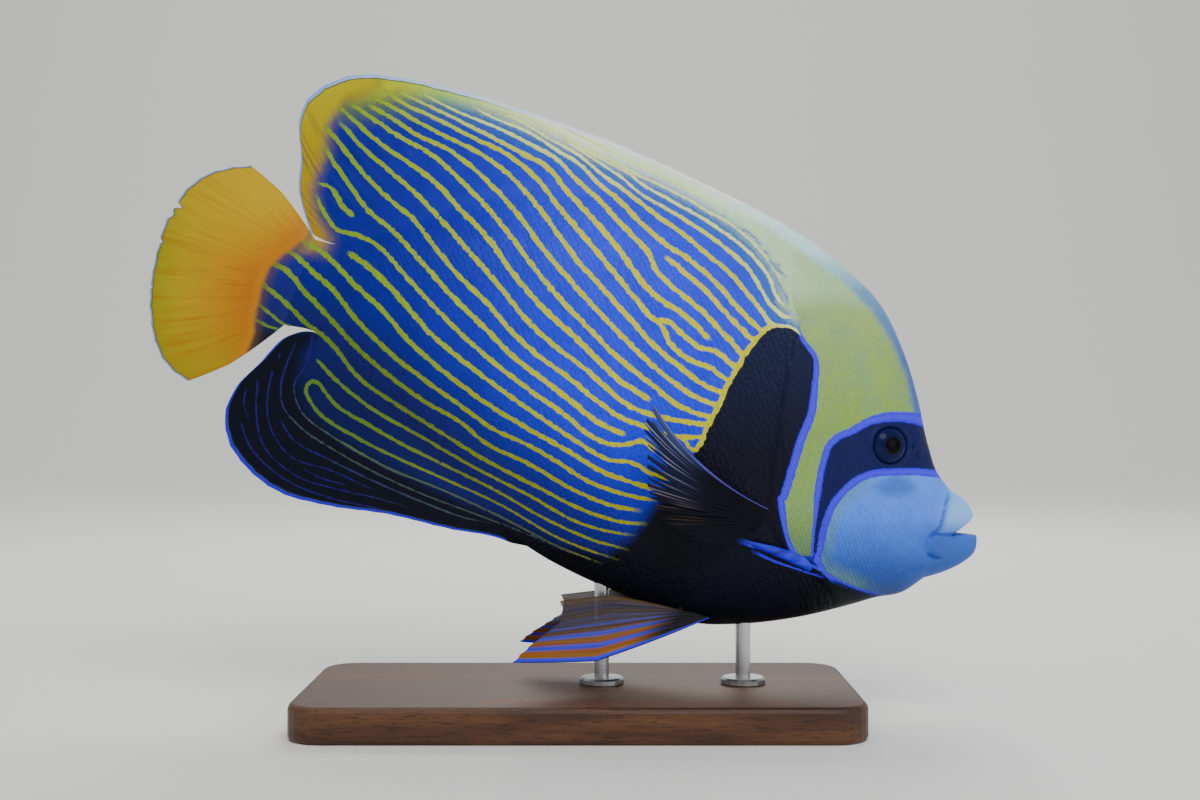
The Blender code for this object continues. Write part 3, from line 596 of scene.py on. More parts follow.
def filletRise(x, side):  # how far the flank is lifted where it meets the upper (1) or lower (-1) fin
    edge = backZ(x) if side > 0 else bellyZ(x)
    faded = bodyShape["dorsalFades"] if side > 0 else bodyShape["analFades"]
    step = skinSetup["slopeStep"]
    slope = (halfWidth(x, edge - side * step) - halfWidth(x, edge)) / step
    finned = (1 - ease(x, *faded)) * ease(x, *bodyShape["tailFades"])
    steep = np.clip(slope - skinSetup["finSlope"], 0, skinSetup["steepest"])
    return finned * steep * skinSetup["filletReach"] / 4


def bodyGrid(s, share):  # the right flank, without its folds
    line = stationLine(s, share)
    x, z = line[..., 0], line[..., 1]
    gill = bodyShape["gillStation"]
    flare = np.clip(1 - (s - gill) / bodyShape["gillReach"], 0, 1) ** 2 * (s >= gill)
    half = halfWidth(x, z)
    half = half + bodyShape["gillFlare"] * flare[:, None] * 2 * np.sqrt(np.clip(share * (1 - share), 0, 1))
    for edge, side in ((backZ(x), 1), (bellyZ(x), -1)):
        near = np.clip(1 - np.abs(edge - z) / skinSetup["filletReach"], 0, 1)
        half = half + filletRise(x, side) * near ** 2
    return np.stack([x, -half, z], axis=-1)


def lipGrid(r, share):  # the right half of the lips, at steps r of their guide lines
    steps = range(len(lips["corner"]))
    upper, lower, corner = (hermite(steps, np.array(lips[k]) * mm, r)[:, None, :]
                            for k in ("upper", "lower", "corner"))
    half = hermite(steps, np.array(lips["cornerHalfWidth"]) * mm, r)[:, None]
    angle = np.arccos(1 - 2 * share)
    up = -np.cos(angle)[None, :, None]
    line = corner + np.where(up > 0, (upper - corner) * up, (corner - lower) * up)
    half = np.maximum(half * np.sin(angle)[None, :] ** lips["fullness"], lips["edge"])
    return np.stack([line[..., 0], -half, line[..., 1]], axis=-1)


def offLine(points, line):  # signed distance in the side view from a smooth line, and how far along it
    samples = smoothLine(line, np.linspace(0, 1, 160)) * mm
    spots = points[..., [0, 2]].reshape(-1, 2)
    index, distance = nearest(pointTree(samples), spots)
    index = np.clip(index.astype(int), 1, len(samples) - 2)
    way = samples[index + 1] - samples[index - 1]
    off = spots - samples[index]
    side = np.sign(way[:, 0] * off[:, 1] - way[:, 1] * off[:, 0])
    share = index / (len(samples) - 1)
    return (distance * side).reshape(points.shape[:-1]), share.reshape(points.shape[:-1])


def hump(off, middle, wide):  # 1 at the middle, falling off on both sides
    return np.exp(-((off - middle) / wide) ** 2)


def endsFade(share, first, last):  # 1 along the middle of a line, down to 0 at its two ends
    return ease(share, 0.0, first) * (1 - ease(share, last, 1.0))


def foldSkin(grid, normals):  # eye rims, nostrils, gill cover, cheek and jaw, raised along the skin's normals
    x, z = grid[..., 0], grid[..., 2]
    lift = np.full(x.shape, -bodyShape["coatDepth"])
    lift *= ease(np.minimum(backZ(x) - z, z - bellyZ(x)), 0, foldSetup["coatFades"])
    lift *= 1 - ease(x, *foldSetup["coatEnds"])
    ex, ez = np.array(skinSetup["eyeAt"]) * mm
    away, radius = np.hypot(x - ex, z - ez), skinSetup["eyeRadius"]
    for middle, wide, height in foldSetup["eyeRims"]:
        lift += height * hump(away, radius * middle, wide)
    inner, outer, depth = foldSetup["socket"]
    lift -= depth * (1 - ease(away, radius * inner, radius * outer))
    for nx, nz in np.array(skinSetup["nostrils"]) * mm:
        away = np.hypot(x - nx, z - nz)
        middle, wide, height = foldSetup["nostrilRim"]
        lift += height * hump(away, middle, wide)
        inner, outer, depth = foldSetup["nostrilPit"]
        lift -= depth * (1 - ease(away, inner, outer))
    for name, (height, ends, rise, runOut) in foldSetup["edges"].items():
        off, share = offLine(grid, skinSetup[name])
        step = ease(off, foldSetup["edgeRise"], rise) * (1 - ease(off, foldSetup["edgeTop"], runOut))
        lift += height * endsFade(share, *ends) * step
    for name, (depth, wide, ends) in foldSetup["grooves"].items():
        off, share = offLine(grid, skinSetup[name])
        lift -= depth * endsFade(share, *ends) * hump(off, 0, wide)
        if name == "maxilla":
            middle, wide, height = foldSetup["maxillaRidge"]
            lift += height * endsFade(share, *ends) * hump(off, middle, wide)
    return grid + normals * lift[..., None]


def foldMarks(points):  # painted shade in the folds of the head, and how far a point is on the lips
    foldShade = np.zeros(points.shape[:-1])
    for name, (wide, strength) in faceSetup["folds"].items():
        off, share = offLine(points, skinSetup[name])
        foldShade = np.maximum(foldShade, strength * endsFade(share, 0.1, 0.88) * hump(off, 0, wide))
    lip = faceSetup["lipAmount"] * ease(points[..., 0], *faceSetup["lipFrom"])
    return {"foldShade": foldShade.ravel(), "lip": lip.ravel()}


def buildSkin():
    even = np.linspace(0, 1, skinSetup["ringSteps"] + 1)
    bunching = skinSetup["ringBunching"]
    share = bunching * (1 - np.cos(even * math.pi)) / 2 + (1 - bunching) * even
    gill, last = bodyShape["gillStation"], len(bodyShape["stations"]) - 1
    s = np.concatenate([np.linspace(0, gill, skinSetup["bodySteps"], endpoint=False),
                        np.linspace(gill, last, skinSetup["headSteps"])])
    overRim, inside = skinSetup["lipSteps"]
    steps = np.concatenate([np.linspace(0, 4, overRim)[1:], np.linspace(4, 6, inside)[1:]])
    grid = np.concatenate([bodyGrid(s, share), lipGrid(steps, share)])
    right = foldSkin(grid, gridNormals(grid))
    left = right * (1, -1, 1)
    rows, columns = right.shape[:2]
    along, up = stepLengths(right[:, columns // 2])[:, None], stepLengths(right[rows // 3])[None, :]
    u, v, uvs = unwrapped(along, up, (rows, columns))
    normals = np.stack([gridNormals(place(right)), -gridNormals(place(left))]).reshape(-1, 3)
    count = rows * columns
    quads = [gridQuads(rows, columns), gridQuads(rows, columns, flip=True, start=count)]
    index = np.arange(count).reshape(rows, columns)
    # closed under the belly, over the back, at the tail's root and at the back of the mouth
    for a, flip in ((index[:, 0], True), (index[:, -1], False), (index[0], False), (index[-1], True)):
        b = a + count
        strip = np.stack([a[:-1], a[1:], b[1:], b[:-1]], axis=-1)
        quads.append(strip[:, ::-1] if flip else strip)
    points = np.concatenate([right.reshape(-1, 3), left.reshape(-1, 3)])
    marks = {**markings(right.reshape(-1, 3)), **foldMarks(right)}
    marks = {k: np.concatenate([m, m]) for k, m in marks.items()}
    return points, np.concatenate(quads), uvs, marks, normals, right, (u, v)


skinPoints, skinQuads, skinUvs, skinMarks, skinNormals, rightFlank, flankUv = buildSkin()
print("skin:", len(skinQuads) * 2, "triangles")

# fins
finSetup = {
    "marginHalf": 0.3 * mm,
    "ridge": 0.28 * mm,
    "rimReach": 3 * mm,
    "rimThins": 0.45,  # the rim's thickness over that of the membrane beside it
    "collar": 0.9 * mm,  # the row of points laid over the skin's edge
    "collarLift": 0.04 * mm,
    "rootRow": 1.8 * mm,  # the row inside the body
    "frontRim": 200 * mm,  # the coloured rim narrows to nothing at the fin's front end
    "noTail": -60.0,  # far outside the tail's region
    "pairedHalf": (0.24 * mm, 1.5 * mm),  # at the rim and at the root
    "pairedRidge": 0.24 * mm,
    "pairedTrim": 0.5 * mm,
    "dorsal": {
        "count": 34, "root": (184, 10.5), "side": 1, "height": backZ,
        "margin": [(185.5, 89.4), (171, 91.8), (141.7, 95.4), (106, 98.3), (65.7, 98.6), (31, 96.8),
                   (10.2, 94.1), (-9.5, 88), (-19, 79.5), (-23.3, 70.3), (-22.1, 60.9), (-17.3, 50.6),
                   (-14.3, 39.6), (-7.9, 28.8), (-2.6, 22.6)],
        "tips": [(0, 0), (0.5, 0.39), (0.75, 0.635), (0.85, 0.765), (0.93, 0.86), (1, 1)],
        "steps": (250, 74), "scallop": 0.55 * mm, "spines": 14, "dive": 1.4 * mm, "bow": -0.07,
    },
    "anal": {
        "count": 23, "root": (123, 14), "side": -1, "height": bellyZ,
        "margin": [(124, -67.8), (110, -67.5), (92, -70.7), (67.8, -73.4), (39.6, -79.1), (24, -80.6),
                   (6.7, -76.3), (-5.2, -68), (-10.7, -56), (-10.1, -48.3), (-3.3, -32.5), (2.3, -20.6),
                   (6.4, -17.2)],
        "tips": [(0, 0), (0.5, 0.455), (0.75, 0.67), (0.88, 0.79), (1, 1)],
        "steps": (300, 110), "scallop": 0.35 * mm, "spines": 3, "dive": 1.4 * mm, "bow": 0.07,
    },
    "tail": {
        "count": 17,
        "margin": [(-35.5, 40), (-44.2, 35.8), (-51.1, 30.6), (-57, 22.4), (-60.3, 10), (-59.9, -6.6),
                   (-58, -18), (-54.6, -28.4), (-49.6, -38.2), (-43.9, -44.7), (-37, -49.2), (-29.5, -51.2)],
        "steps": (230, 90), "scallop": 0.5 * mm, "ridge": 0.16 * mm, "bulge": 0.06, "sunk": 2.5 * mm,
        "notches": [(0.315, 3.2, 0.008), (0.352, 1.2, 0.012), (0.455, 1.0, 0.006), (0.62, 0.8, 0.006)],
        # each notch: share along the rim, depth in millimetres, width
    },
    "pectoral": {
        "count": 17, "root": [(201.5, -16.5), (201.5, -30)], "rootY": None,  # on the flank itself
        "margin": [(150, 4.5), (149.3, -3.8), (153.8, -12.7), (156.9, -22), (162.5, -30.6), (170.5, -36.5),
                   (182, -39.6), (193, -38.5)],
        "splay": (math.radians(20), math.radians(20)), "sag": (-0.075, 0.0), "late": 0.0,
        "steps": (180, 70), "sunk": 5 * mm,
    },
    "pelvic": {
        "count": 9, "root": [(197, -70.5), (185, -70)], "rootY": 8.5 * mm,
        "margin": [(133.4, -108), (137, -101.6), (141.6, -94.8), (145.6, -87.6), (143, -81.5)],
        "splay": (math.radians(15), math.radians(3)), "sag": (-0.085, 0.08), "late": 0.8,
        "steps": (120, 80), "sunk": 5 * mm,
    },
}


def rayProfile(phase, share, split=0.45):  # ridge height 0..1 across a ray, which parts in two further out
    single = np.clip(np.cos(2 * math.pi * phase), 0, 1) ** 1.5
    double = np.clip(np.cos(4 * math.pi * phase), 0, 1) ** 1.5
    branch = ease(share, split, split + 0.2)
    return single * (1 - branch) + double * branch * 0.8


def bentRays(roots, tips, bow, share, late=0.0):  # late moves the bend out towards the tips
    r = share[:, None, None]
    reach = tips - roots
    across = np.stack([reach[:, 1], -reach[:, 0]], axis=-1)
    bend = (1 - late) * 4 * r * (1 - r) + late * np.minimum(r / 0.6, (1 - r) / 0.4)
    return roots + reach * r + across * np.asarray(bow)[..., None] * bend


def addFin(name, middle, sideways, half, marks, material):  # both faces of a fin, from its middle sheet
    rows, columns = half.shape
    base = place(middle)
    way = place(middle + sideways * mm) - base
    way /= np.linalg.norm(way, axis=-1, keepdims=True)
    first, second = base + way * half[..., None], base - way * half[..., None]
    count = rows * columns
    quads = [gridQuads(rows, columns), gridQuads(rows, columns, flip=True, start=count)]
    index = np.arange(count).reshape(rows, columns)
    rim = np.concatenate([index[0], index[1:, -1], index[-1, -2::-1], index[-2:0:-1, 0]])
    after = np.roll(rim, -1)
    quads.append(np.stack([rim, after, after + count, rim + count], axis=-1))
    normals = np.stack([gridNormals(first[1:]), -gridNormals(second[1:])])
    normals = np.concatenate([normals[:, :1], normals], axis=1).reshape(-1, 3)  # the first row is in the body
    if np.sum(normals[:count] * way.reshape(-1, 3)) < 0:
        normals = -normals
        quads = [q[:, ::-1] for q in quads]
    uvs = unwrapped(stepLengths(base[rows * 2 // 3])[None, :], stepLengths(base.mean(axis=1))[:, None],
                    (rows, columns))[2]
    both = {k: np.tile(np.ravel(m), 2) for k, m in marks.items()}
    points = np.concatenate([first.reshape(-1, 3), second.reshape(-1, 3)])
    return addMesh(name, points, np.concatenate(quads), uvs, both, normals, material)


def overGrid(shape, **values):  # each of these attributes over a whole grid
    return {name: np.broadcast_to(value, shape) for name, value in values.items()}


def addMiddleFin(name, grid, half, extra, node, material):  # a marked fin in the middle plane
    middle = np.stack([grid[..., 0], np.zeros(half.shape), grid[..., 1]], axis=-1)
    marks = {**markings(middle - half[..., None] * (0, 1, 0)), **extra}
    piece = addFin(name, middle, np.broadcast_to((0.0, 1.0, 0.0), middle.shape), half, marks, material)
    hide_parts(node)


def finEdge(t, setup):  # small scallops between the rays and uneven ends
    phase = t * (setup["count"] - 1)
    wave = np.sin(phase * 1.7) * 0.4 + np.sin(phase * 4.3 + 1) * 0.3
    return setup["scallop"] * (np.abs(np.sin(math.pi * phase)) ** 0.8 * 0.8 + wave * 0.4)


# the marked skin's material
def newMaterial(name, **sockets):
    made = bpy.data.materials.new(name)
    made.use_nodes = True
    shader = made.node_tree.nodes["Principled BSDF"]
    for key, value in sockets.items():
        shader.inputs[key.replace("_", " ")].default_value = value
    return made, made.node_tree, shader


patterns = {
    "mottle": 11.11 * mm,  # cloudy patches
    "fine": 1.111 * mm,  # one scale
    "waver": 2.326 * mm,  # two scales: the ragged edges of the lines
    "scale": 1.3 * mm,
}
skinColours = {
    # the blues run bright in front and dark to the rear and below: partly own tone, partly painted light and
    # shade
    "blueRear": "#141987",
    "blueMiddle": "#1b26b6",
    "blueFront": "#2038f2",
    "lowRear": "#08104a",
    "lowFront": "#1a1f80",
    "belly": "#0a0e18",
    "anal": "#030819",
    "teal": "#3d78a6",
    "green": "#5c7426",
    "lineRear": "#7d9b19",
    "lineMiddle": "#b0bc08",
    "lineFront": "#d2cc00",
    "lineLowRear": "#4b6b22",
    "lineLowFront": "#8a8810",
    "linePale": "#eeffae",
    "lineSide": "#3f7d46",
    # crest: own pale yellow-green, with painted highlight in its near-white middle
    "crest": [(0.0, "#a89a00"), (0.13, "#b4be14"), (0.22, "#b0de48"), (0.33, "#e4f890"), (0.5, "#f6ffd8"),
              (0.8, "#d4f6cc"), (1.0, "#a9cc98")],
    "nape": [(0.0, "#9dba74"), (0.3, "#8fae5a"), (0.55, "#87a84a"), (0.8, "#86a85c"), (1.0, "#5f8048")],
    # brow: the forehead's own blue, with painted highlight along the top
    "brow": [(0.0, "#f4ffff"), (0.35, "#c4f0ff"), (0.6, "#5c90c8"), (1.0, "#3556c0")],
    # rims: own pale blue, whitening with painted highlight towards the front
    "rim": [(0.0, "#7b94dc"), (0.5, "#c4dcf8"), (1.0, "#ffffff")],
    "lobe": [(0.0, "#b0a400"), (0.5, "#a89000"), (1.0, "#a88600")],
    "lobeShade": "#6e5f38",
    "tailRoot": "#b87400",
    "tailShade": "#5c4434",
    "mask": "#141950",
    "maskLow": "#151d4c",
    "patch": "#141a3c",
    "patchLow": "#0e0f1e",
    "violet": "#3218ea",
    "violetPale": "#4636fa",
    "analLine": "#1c0e66",
    "analInner": "#3c4c50",
    "analRim": "#2412c8",
    "innerRim": "#2b3a1c",
    "fleck": "#7f92bc",
    # face: own blue, lighter at the top and darker below with painted shade
    "face": [(0.0, "#5c98ff"), (0.35, "#4e8cff"), (0.55, "#4076e4"), (0.75, "#335ab4"), (1.0, "#33497e")],
    "faceWarm": "#6f9a72",
    "faceShade": "#1c3f9c",
    # lips: pale blue, the upper partly painted highlight, the lower darkened with painted shade
    "lip": "#9cd8ff",
    "lowerLipShade": "#3458a6",
}


def paintGround(tree, read, colours):  # deep blue at the rear, bright in front, almost black below: partly the fish's own tones, partly painted light in front and painted shade to the rear and below
    # bright in front, dark to the rear: partly own tone, partly painted light falling off from the front
    read["front"] = addNode(tree, "MapRange", read["across"], 0.33, 0.62, **eased)
    ground = addNode(tree, "ValToRGB", read["front"],
                     stops=[(0.0, colours["blueRear"]), (0.5, colours["blueMiddle"]),
                            (1.0, colours["blueFront"])])
    # darker towards the belly and the lower rear: partly own tone, partly painted shade
    depth = addNode(tree, "Math", read["across"], -0.55, read["down"], **timesPlus)
    read["low"] = addNode(tree, "MapRange", depth, 0.07, 0.22, **eased)
    lowColour = addNode(tree, "Mix", read["front"], colours["lowRear"], colours["lowFront"], **colourMix)
    ground = addNode(tree, "Mix", read["low"], ground, lowColour, **colourMix)
    read["clouds"] = addNode(tree, "MapRange", read["mottle"], 0.35, 0.75, 0.0, 0.22, **eased)
    ground = addNode(tree, "Mix", read["clouds"], ground, lowColour, **colourMix)
    # pale crest along the dorsal edge and nape, reached through a greener blue; its near-white middle is
    # painted highlight over the crest's own pale yellow-green
    crestAt = addNode(tree, "Math", read["fine"], 8.0, read["crest"], **timesPlus)
    read["teal"] = addNode(tree, "MapRange", crestAt, -34.0, 2.0, 0.0, 0.8, **eased)
    read["forward"] = addNode(tree, "MapRange", read["across"], 0.38, 0.50, **eased)
    tealColour = addNode(tree, "Mix", read["forward"], colours["green"], colours["teal"], **colourMix)
    ground = addNode(tree, "Mix", read["teal"], ground, tealColour, **colourMix)
    crest = addNode(tree, "MapRange", crestAt, -10.0, 12.0, **eased)
    crestShare = addNode(tree, "MapRange", read["across"], 0.34, 0.82)
    crestColour = addNode(tree, "ValToRGB", crestShare, stops=colours["crest"])
    ground = addNode(tree, "Mix", crest, ground, crestColour, **colourMix)
    return ground


def paintLobe(tree, read, colours, ground):
    # golden rear lobe of the dorsal fin
    read["lobeAt"] = addNode(tree, "Math", read["mottle"], 14.0, read["lobe"], **timesPlus)
    lobe = addNode(tree, "MapRange", read["lobeAt"], 1.0, 17.0, **eased)
    lobeShade = addNode(tree, "MapRange", read["lobeAt"], -6.0, 8.0, 0.0, 0.5, **eased)
    ground = addNode(tree, "Mix", lobeShade, ground, colours["lobeShade"], **colourMix)
    lobeColour = addNode(tree, "ValToRGB", addNode(tree, "MapRange", read["down"], 0.09, 0.21),
                         stops=colours["lobe"])
    fan = addNode(tree, "CombineXYZ", addNode(tree, "Math", read["rayPhase"], 2.4, **times), read["finOut"])
    streak = addNode(tree, "MapRange", addNode(tree, "TexNoise", fan, 1.4, 2.0), 0.46, 0.66, 0.0, 0.9,
                     **eased)
    streak = addNode(tree, "Math", streak, addNode(tree, "MapRange", read["down"], 0.10, 0.16), **times)
    lobeColour = addNode(tree, "Mix", streak, lobeColour, colours["lobeShade"], **colourMix)
    ground = addNode(tree, "Mix", lobe, ground, lobeColour, **colourMix)
    # dark belly and anal fin
    belly = addNode(tree, "MapRange", read["belly"], -11.0, 7.0, **eased)
    rearward = addNode(tree, "MapRange", read["across"], 0.35, 0.6, **eased)
    bellyColour = addNode(tree, "Mix", rearward, colours["anal"], colours["belly"], **colourMix)
    ground = addNode(tree, "Mix", belly, ground, bellyColour, **colourMix)
    return ground


def paintLines(tree, read, colours, ground):
    # yellow lines, green along their sides
    line = addNode(tree, "Math", read["yellowLine"], read["wobble"], **plus)
    onLine = addNode(tree, "MapRange", line, 0.55, 1.5, 1.0, 0.0, **eased)
    onLine = addNode(tree, "Math", onLine, read["yellowShow"], **times)
    onLine = addNode(tree, "Math", onLine, addNode(tree, "MapRange", read["lobeAt"], 8.0, 26.0, 1.0, 0.15),
                     **times)
    # lines olive at the rear, yellow in front and duller below: partly their own tones, partly the ground's
    # painted light and shade
    read["lineColour"] = addNode(tree, "ValToRGB", addNode(tree, "MapRange", read["across"], 0.35, 0.60),
                                 stops=[(0.0, colours["lineRear"]), (0.5, colours["lineMiddle"]),
                                        (1.0, colours["lineFront"])])
    lineLow = addNode(tree, "Mix", read["front"], colours["lineLowRear"], colours["lineLowFront"],
                      **colourMix)
    read["lineColour"] = addNode(tree, "Mix", addNode(tree, "Math", read["low"], 0.85, **times),
                                 read["lineColour"], lineLow, **colourMix)
    read["lineColour"] = addNode(tree, "Mix", addNode(tree, "Math", read["teal"], read["forward"], **times),
                                 read["lineColour"], colours["linePale"], **colourMix)
    side = addNode(tree, "MapRange", onLine, 0.0, 0.45, 0.0, 0.75, **eased)
    read["core"] = addNode(tree, "MapRange", onLine, 0.35, 0.75, **eased)
    sideColour = addNode(tree, "Mix", 0.45, read["lineColour"], colours["lineSide"], **colourMix)
    colour = addNode(tree, "Mix", side, ground, sideColour, **colourMix)
    colour = addNode(tree, "Mix", read["core"], colour, read["lineColour"], **colourMix)
    # where the tail begins
    tailAt = addNode(tree, "Math", read["mottle"], 10.0, read["tail"], **timesPlus)
    tailShade = addNode(tree, "MapRange", tailAt, -9.0, 5.0, 0.0, 0.6, **eased)
    colour = addNode(tree, "Mix", tailShade, colour, colours["tailShade"], **colourMix)
    colour = addNode(tree, "Mix", addNode(tree, "MapRange", tailAt, 2.0, 9.0, **eased), colour,
                     colours["tailRoot"], **colourMix)
    return colour


def paintNape(tree, read, colours, colour):
    # nape and forehead
    napeShare = addNode(tree, "MapRange", read["down"], 0.29, 0.56)
    napeColour = addNode(tree, "ValToRGB", napeShare, stops=colours["nape"])
    napeColour = addNode(tree, "Mix", read["clouds"], napeColour, colours["teal"], **colourMix)
    lowDown = addNode(tree, "MapRange", read["down"], 0.285, 0.315, **eased)
    napeEdge = addNode(tree, "MapRange", read["nape"], -0.8, 0.8, **eased)
    colour = addNode(tree, "Mix", addNode(tree, "Math", napeEdge, lowDown, **times), colour, napeColour,
                     **colourMix)
    # the brow runs from near white at the top to blue below: its own blue, with painted highlight along the
    # top
    brow = addNode(tree, "Math", addNode(tree, "MapRange", read["brow"], -5.0, 4.0, 0.0, 0.85, **eased),
                   addNode(tree, "MapRange", read["across"], 0.69, 0.76), **times)
    browColour = addNode(tree, "ValToRGB", addNode(tree, "MapRange", read["down"], 0.19, 0.36),
                         stops=colours["brow"])
    colour = addNode(tree, "Mix", brow, colour, browColour, **colourMix)
    # dark patch behind the gill cover, and the yellow line round it
    patch = addNode(tree, "MapRange", read["patch"], -0.7, 0.7, **eased)
    patchShare = addNode(tree, "MapRange", read["down"], 0.34, 0.48, **eased)
    patchColour = addNode(tree, "Mix", patchShare, colours["patch"], colours["patchLow"], **colourMix)
    colour = addNode(tree, "Mix", patch, colour, patchColour, **colourMix)
    edge = addNode(tree, "Math", read["core"], addNode(tree, "MapRange", read["patch"], 6.0, 4.0, **eased),
                   **times)
    colour = addNode(tree, "Mix", addNode(tree, "Math", edge, patch, **times), colour, read["lineColour"],
                     **colourMix)
    return colour


def paintFace(tree, read, colours, colour):
    # mask and face
    maskColour = addNode(tree, "Mix", read["clouds"], colours["mask"], colours["maskLow"], **colourMix)
    mask = addNode(tree, "MapRange", read["mask"], -0.7, 0.7, **eased)
    colour = addNode(tree, "Mix", mask, colour, maskColour, **colourMix)
    # face lighter at the top and darker below: painted shade over its own blue
    faceColour = addNode(tree, "ValToRGB", addNode(tree, "MapRange", read["down"], 0.465, 0.60),
                         stops=colours["face"])
    warm = addNode(tree, "Math", addNode(tree, "MapRange", read["face"], 20.0, 4.0, 0.0, 0.5, **eased),
                   addNode(tree, "MapRange", read["across"], 0.885, 0.85, **eased), **times)
    faceColour = addNode(tree, "Mix", warm, faceColour, colours["faceWarm"], **colourMix)
    # painted shade under the mask and at the mouth's corner
    shade = addNode(tree, "Math", read["faceShadeSpot"], 0.5, **times)
    faceColour = addNode(tree, "Mix", shade, faceColour, colours["faceShade"], **colourMix)
    faceColour = addNode(tree, "Mix", addNode(tree, "Math", read["clouds"], 0.8, **times), faceColour,
                         colours["faceShade"], **colourMix)
    # upper lip pale, partly painted highlight; lower lip darkened with painted shade
    lowerLip = addNode(tree, "MapRange", read["down"], 0.515, 0.54, **eased)
    lipColour = addNode(tree, "Mix", lowerLip, colours["lip"], colours["lowerLipShade"], **colourMix)
    faceColour = addNode(tree, "Mix", read["lip"], faceColour, lipColour, **colourMix)
    # painted shade along the folds of the head
    faceColour = addNode(tree, "Mix", read["foldShade"], faceColour, colours["faceShade"], **colourMix)
    face = addNode(tree, "MapRange", read["face"], -0.8, 0.8, **eased)
    colour = addNode(tree, "Mix", face, colour, faceColour, **colourMix)
    return colour


def paintEdges(tree, read, colours, colour):
    # thin blue lines, violet borders and the rims of the fins
    blue = addNode(tree, "MapRange",
                   addNode(tree, "Math", read["wobble"], 1.2, read["blueLine"], **timesPlus), 0.6, 1.5, 1.0,
                   0.0, **eased)
    high = addNode(tree, "MapRange", read["down"], 0.325, 0.33)
    inner = addNode(tree, "Math", addNode(tree, "MapRange", read["belly"], 24.0, 12.0, 0.0, 0.95, **eased),
                    addNode(tree, "MapRange", read["across"], 0.36, 0.44), operation="MAXIMUM")
    inner = addNode(tree, "Math", inner, addNode(tree, "MapRange", read["down"], 0.38, 0.42), **times)
    analColour = addNode(tree, "Mix", inner, colours["analLine"], colours["analInner"], **colourMix)
    blueColour = addNode(tree, "Mix", high, colours["fleck"], analColour, **colourMix)
    colour = addNode(tree, "Mix", addNode(tree, "Math", blue, read["blueShow"], **times), colour, blueColour,
                     **colourMix)
    violet = addNode(tree, "MapRange",
                     addNode(tree, "Math", read["wobble"], 0.3, read["violetLine"], **timesPlus), 0.8, 1.2,
                     1.0, 0.0, **eased)
    violetColour = addNode(tree, "Mix", addNode(tree, "MapRange", read["violetLine"], 0.1, 0.9),
                           colours["violetPale"], colours["violet"], **colourMix)
    colour = addNode(tree, "Mix", addNode(tree, "Math", violet, read["violetShow"], **times), colour,
                     violetColour, **colourMix)
    # the fins' rims are pale blue, whitening towards the front with painted highlight
    rimAt = addNode(tree, "Math", read["wobble"], 0.12, read["rimNear"], **timesPlus)
    rimColour = addNode(tree, "ValToRGB", addNode(tree, "MapRange", read["across"], 0.29, 0.66),
                        stops=colours["rim"])
    rimColour = addNode(tree, "Mix", high, rimColour, colours["analRim"], **colourMix)
    innerRim = addNode(tree, "Math", addNode(tree, "MapRange", rimAt, 0.30, 0.40, **eased),
                       addNode(tree, "MapRange", read["across"], 0.46, 0.53, 0.9, 0.0), **times)
    colour = addNode(tree, "Mix", innerRim, colour, colours["innerRim"], **colourMix)
    colour = addNode(tree, "Mix", addNode(tree, "MapRange", rimAt, 0.44, 0.54, **eased), colour, rimColour,
                     **colourMix)
    return colour


def paintMarks(tree, colours):  # the colour of the marked skin, from the attributes that the pieces carry
    names = ("across", "down", "lobe", "belly", "tail", "nape", "crest", "brow", "patch", "mask", "face",
             "faceShadeSpot", "foldShade", "lip", "rimNear", "rayPhase", "finOut", "yellowLine", "yellowShow",
             "blueLine", "blueShow", "violetLine", "violetShow", "scaleTint")
    read = {name: addNode(tree, "Attribute", out=2, attribute_name=name) for name in names}
    spot = addNode(tree, "TexCoord", out=3)
    read["mottle"] = addNode(tree, "TexNoise", spot, 1 / patterns["mottle"], 4.0, 0.6)
    read["fine"] = addNode(tree, "TexNoise", spot, 1 / patterns["fine"], 2.0, 0.5)
    waver = addNode(tree, "TexNoise", spot, 1 / patterns["waver"], 2.0, 0.6)
    read["wobble"] = addNode(tree, "MapRange", waver, 0.3, 0.7, -0.42, 0.42)
    colour = paintGround(tree, read, colours)
    for paint in (paintLobe, paintLines, paintNape, paintFace, paintEdges):
        colour = paint(tree, read, colours, colour)
    tint = addNode(tree, "MapRange", read["scaleTint"], -1.0, 1.0, 0.95, 1.05)
    colour = addNode(tree, "Mix", 1.0, colour, tint, blend_type="MULTIPLY", **colourMix)
    return colour, spot, read["fine"]


def scaledSkinMaterial(name, relief):
    # skin under fine comb-edged scales, cast in resin and airbrushed: a low satin, rougher between the scales
    made, tree, shader = newMaterial(name, Roughness=0.48, IOR=1.42, Specular_IOR_Level=0.16)
    colour, spot, fine = paintMarks(tree, skinColours)
    tree.links.new(colour, shader.inputs["Base Color"])
    scaleRow = addNode(tree, "TexVoronoi", spot, 1 / patterns["scale"])
    height = addNode(tree, "Math", scaleRow, fine, **plus)
    tree.links.new(addNode(tree, "Bump", relief, 0.15 * mm, None, height), shader.inputs["Normal"])
    tree.links.new(addNode(tree, "MapRange", fine, 0.0, 1.0, 0.38, 0.54), shader.inputs["Roughness"])
    return made


skinMaterial = scaledSkinMaterial("airbrushedSkin", 0.12)
skin = addMesh("skin", place(skinPoints), skinQuads, skinUvs, skinMarks, skinNormals, skinMaterial)
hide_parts("head", "torso", "tail_stem")


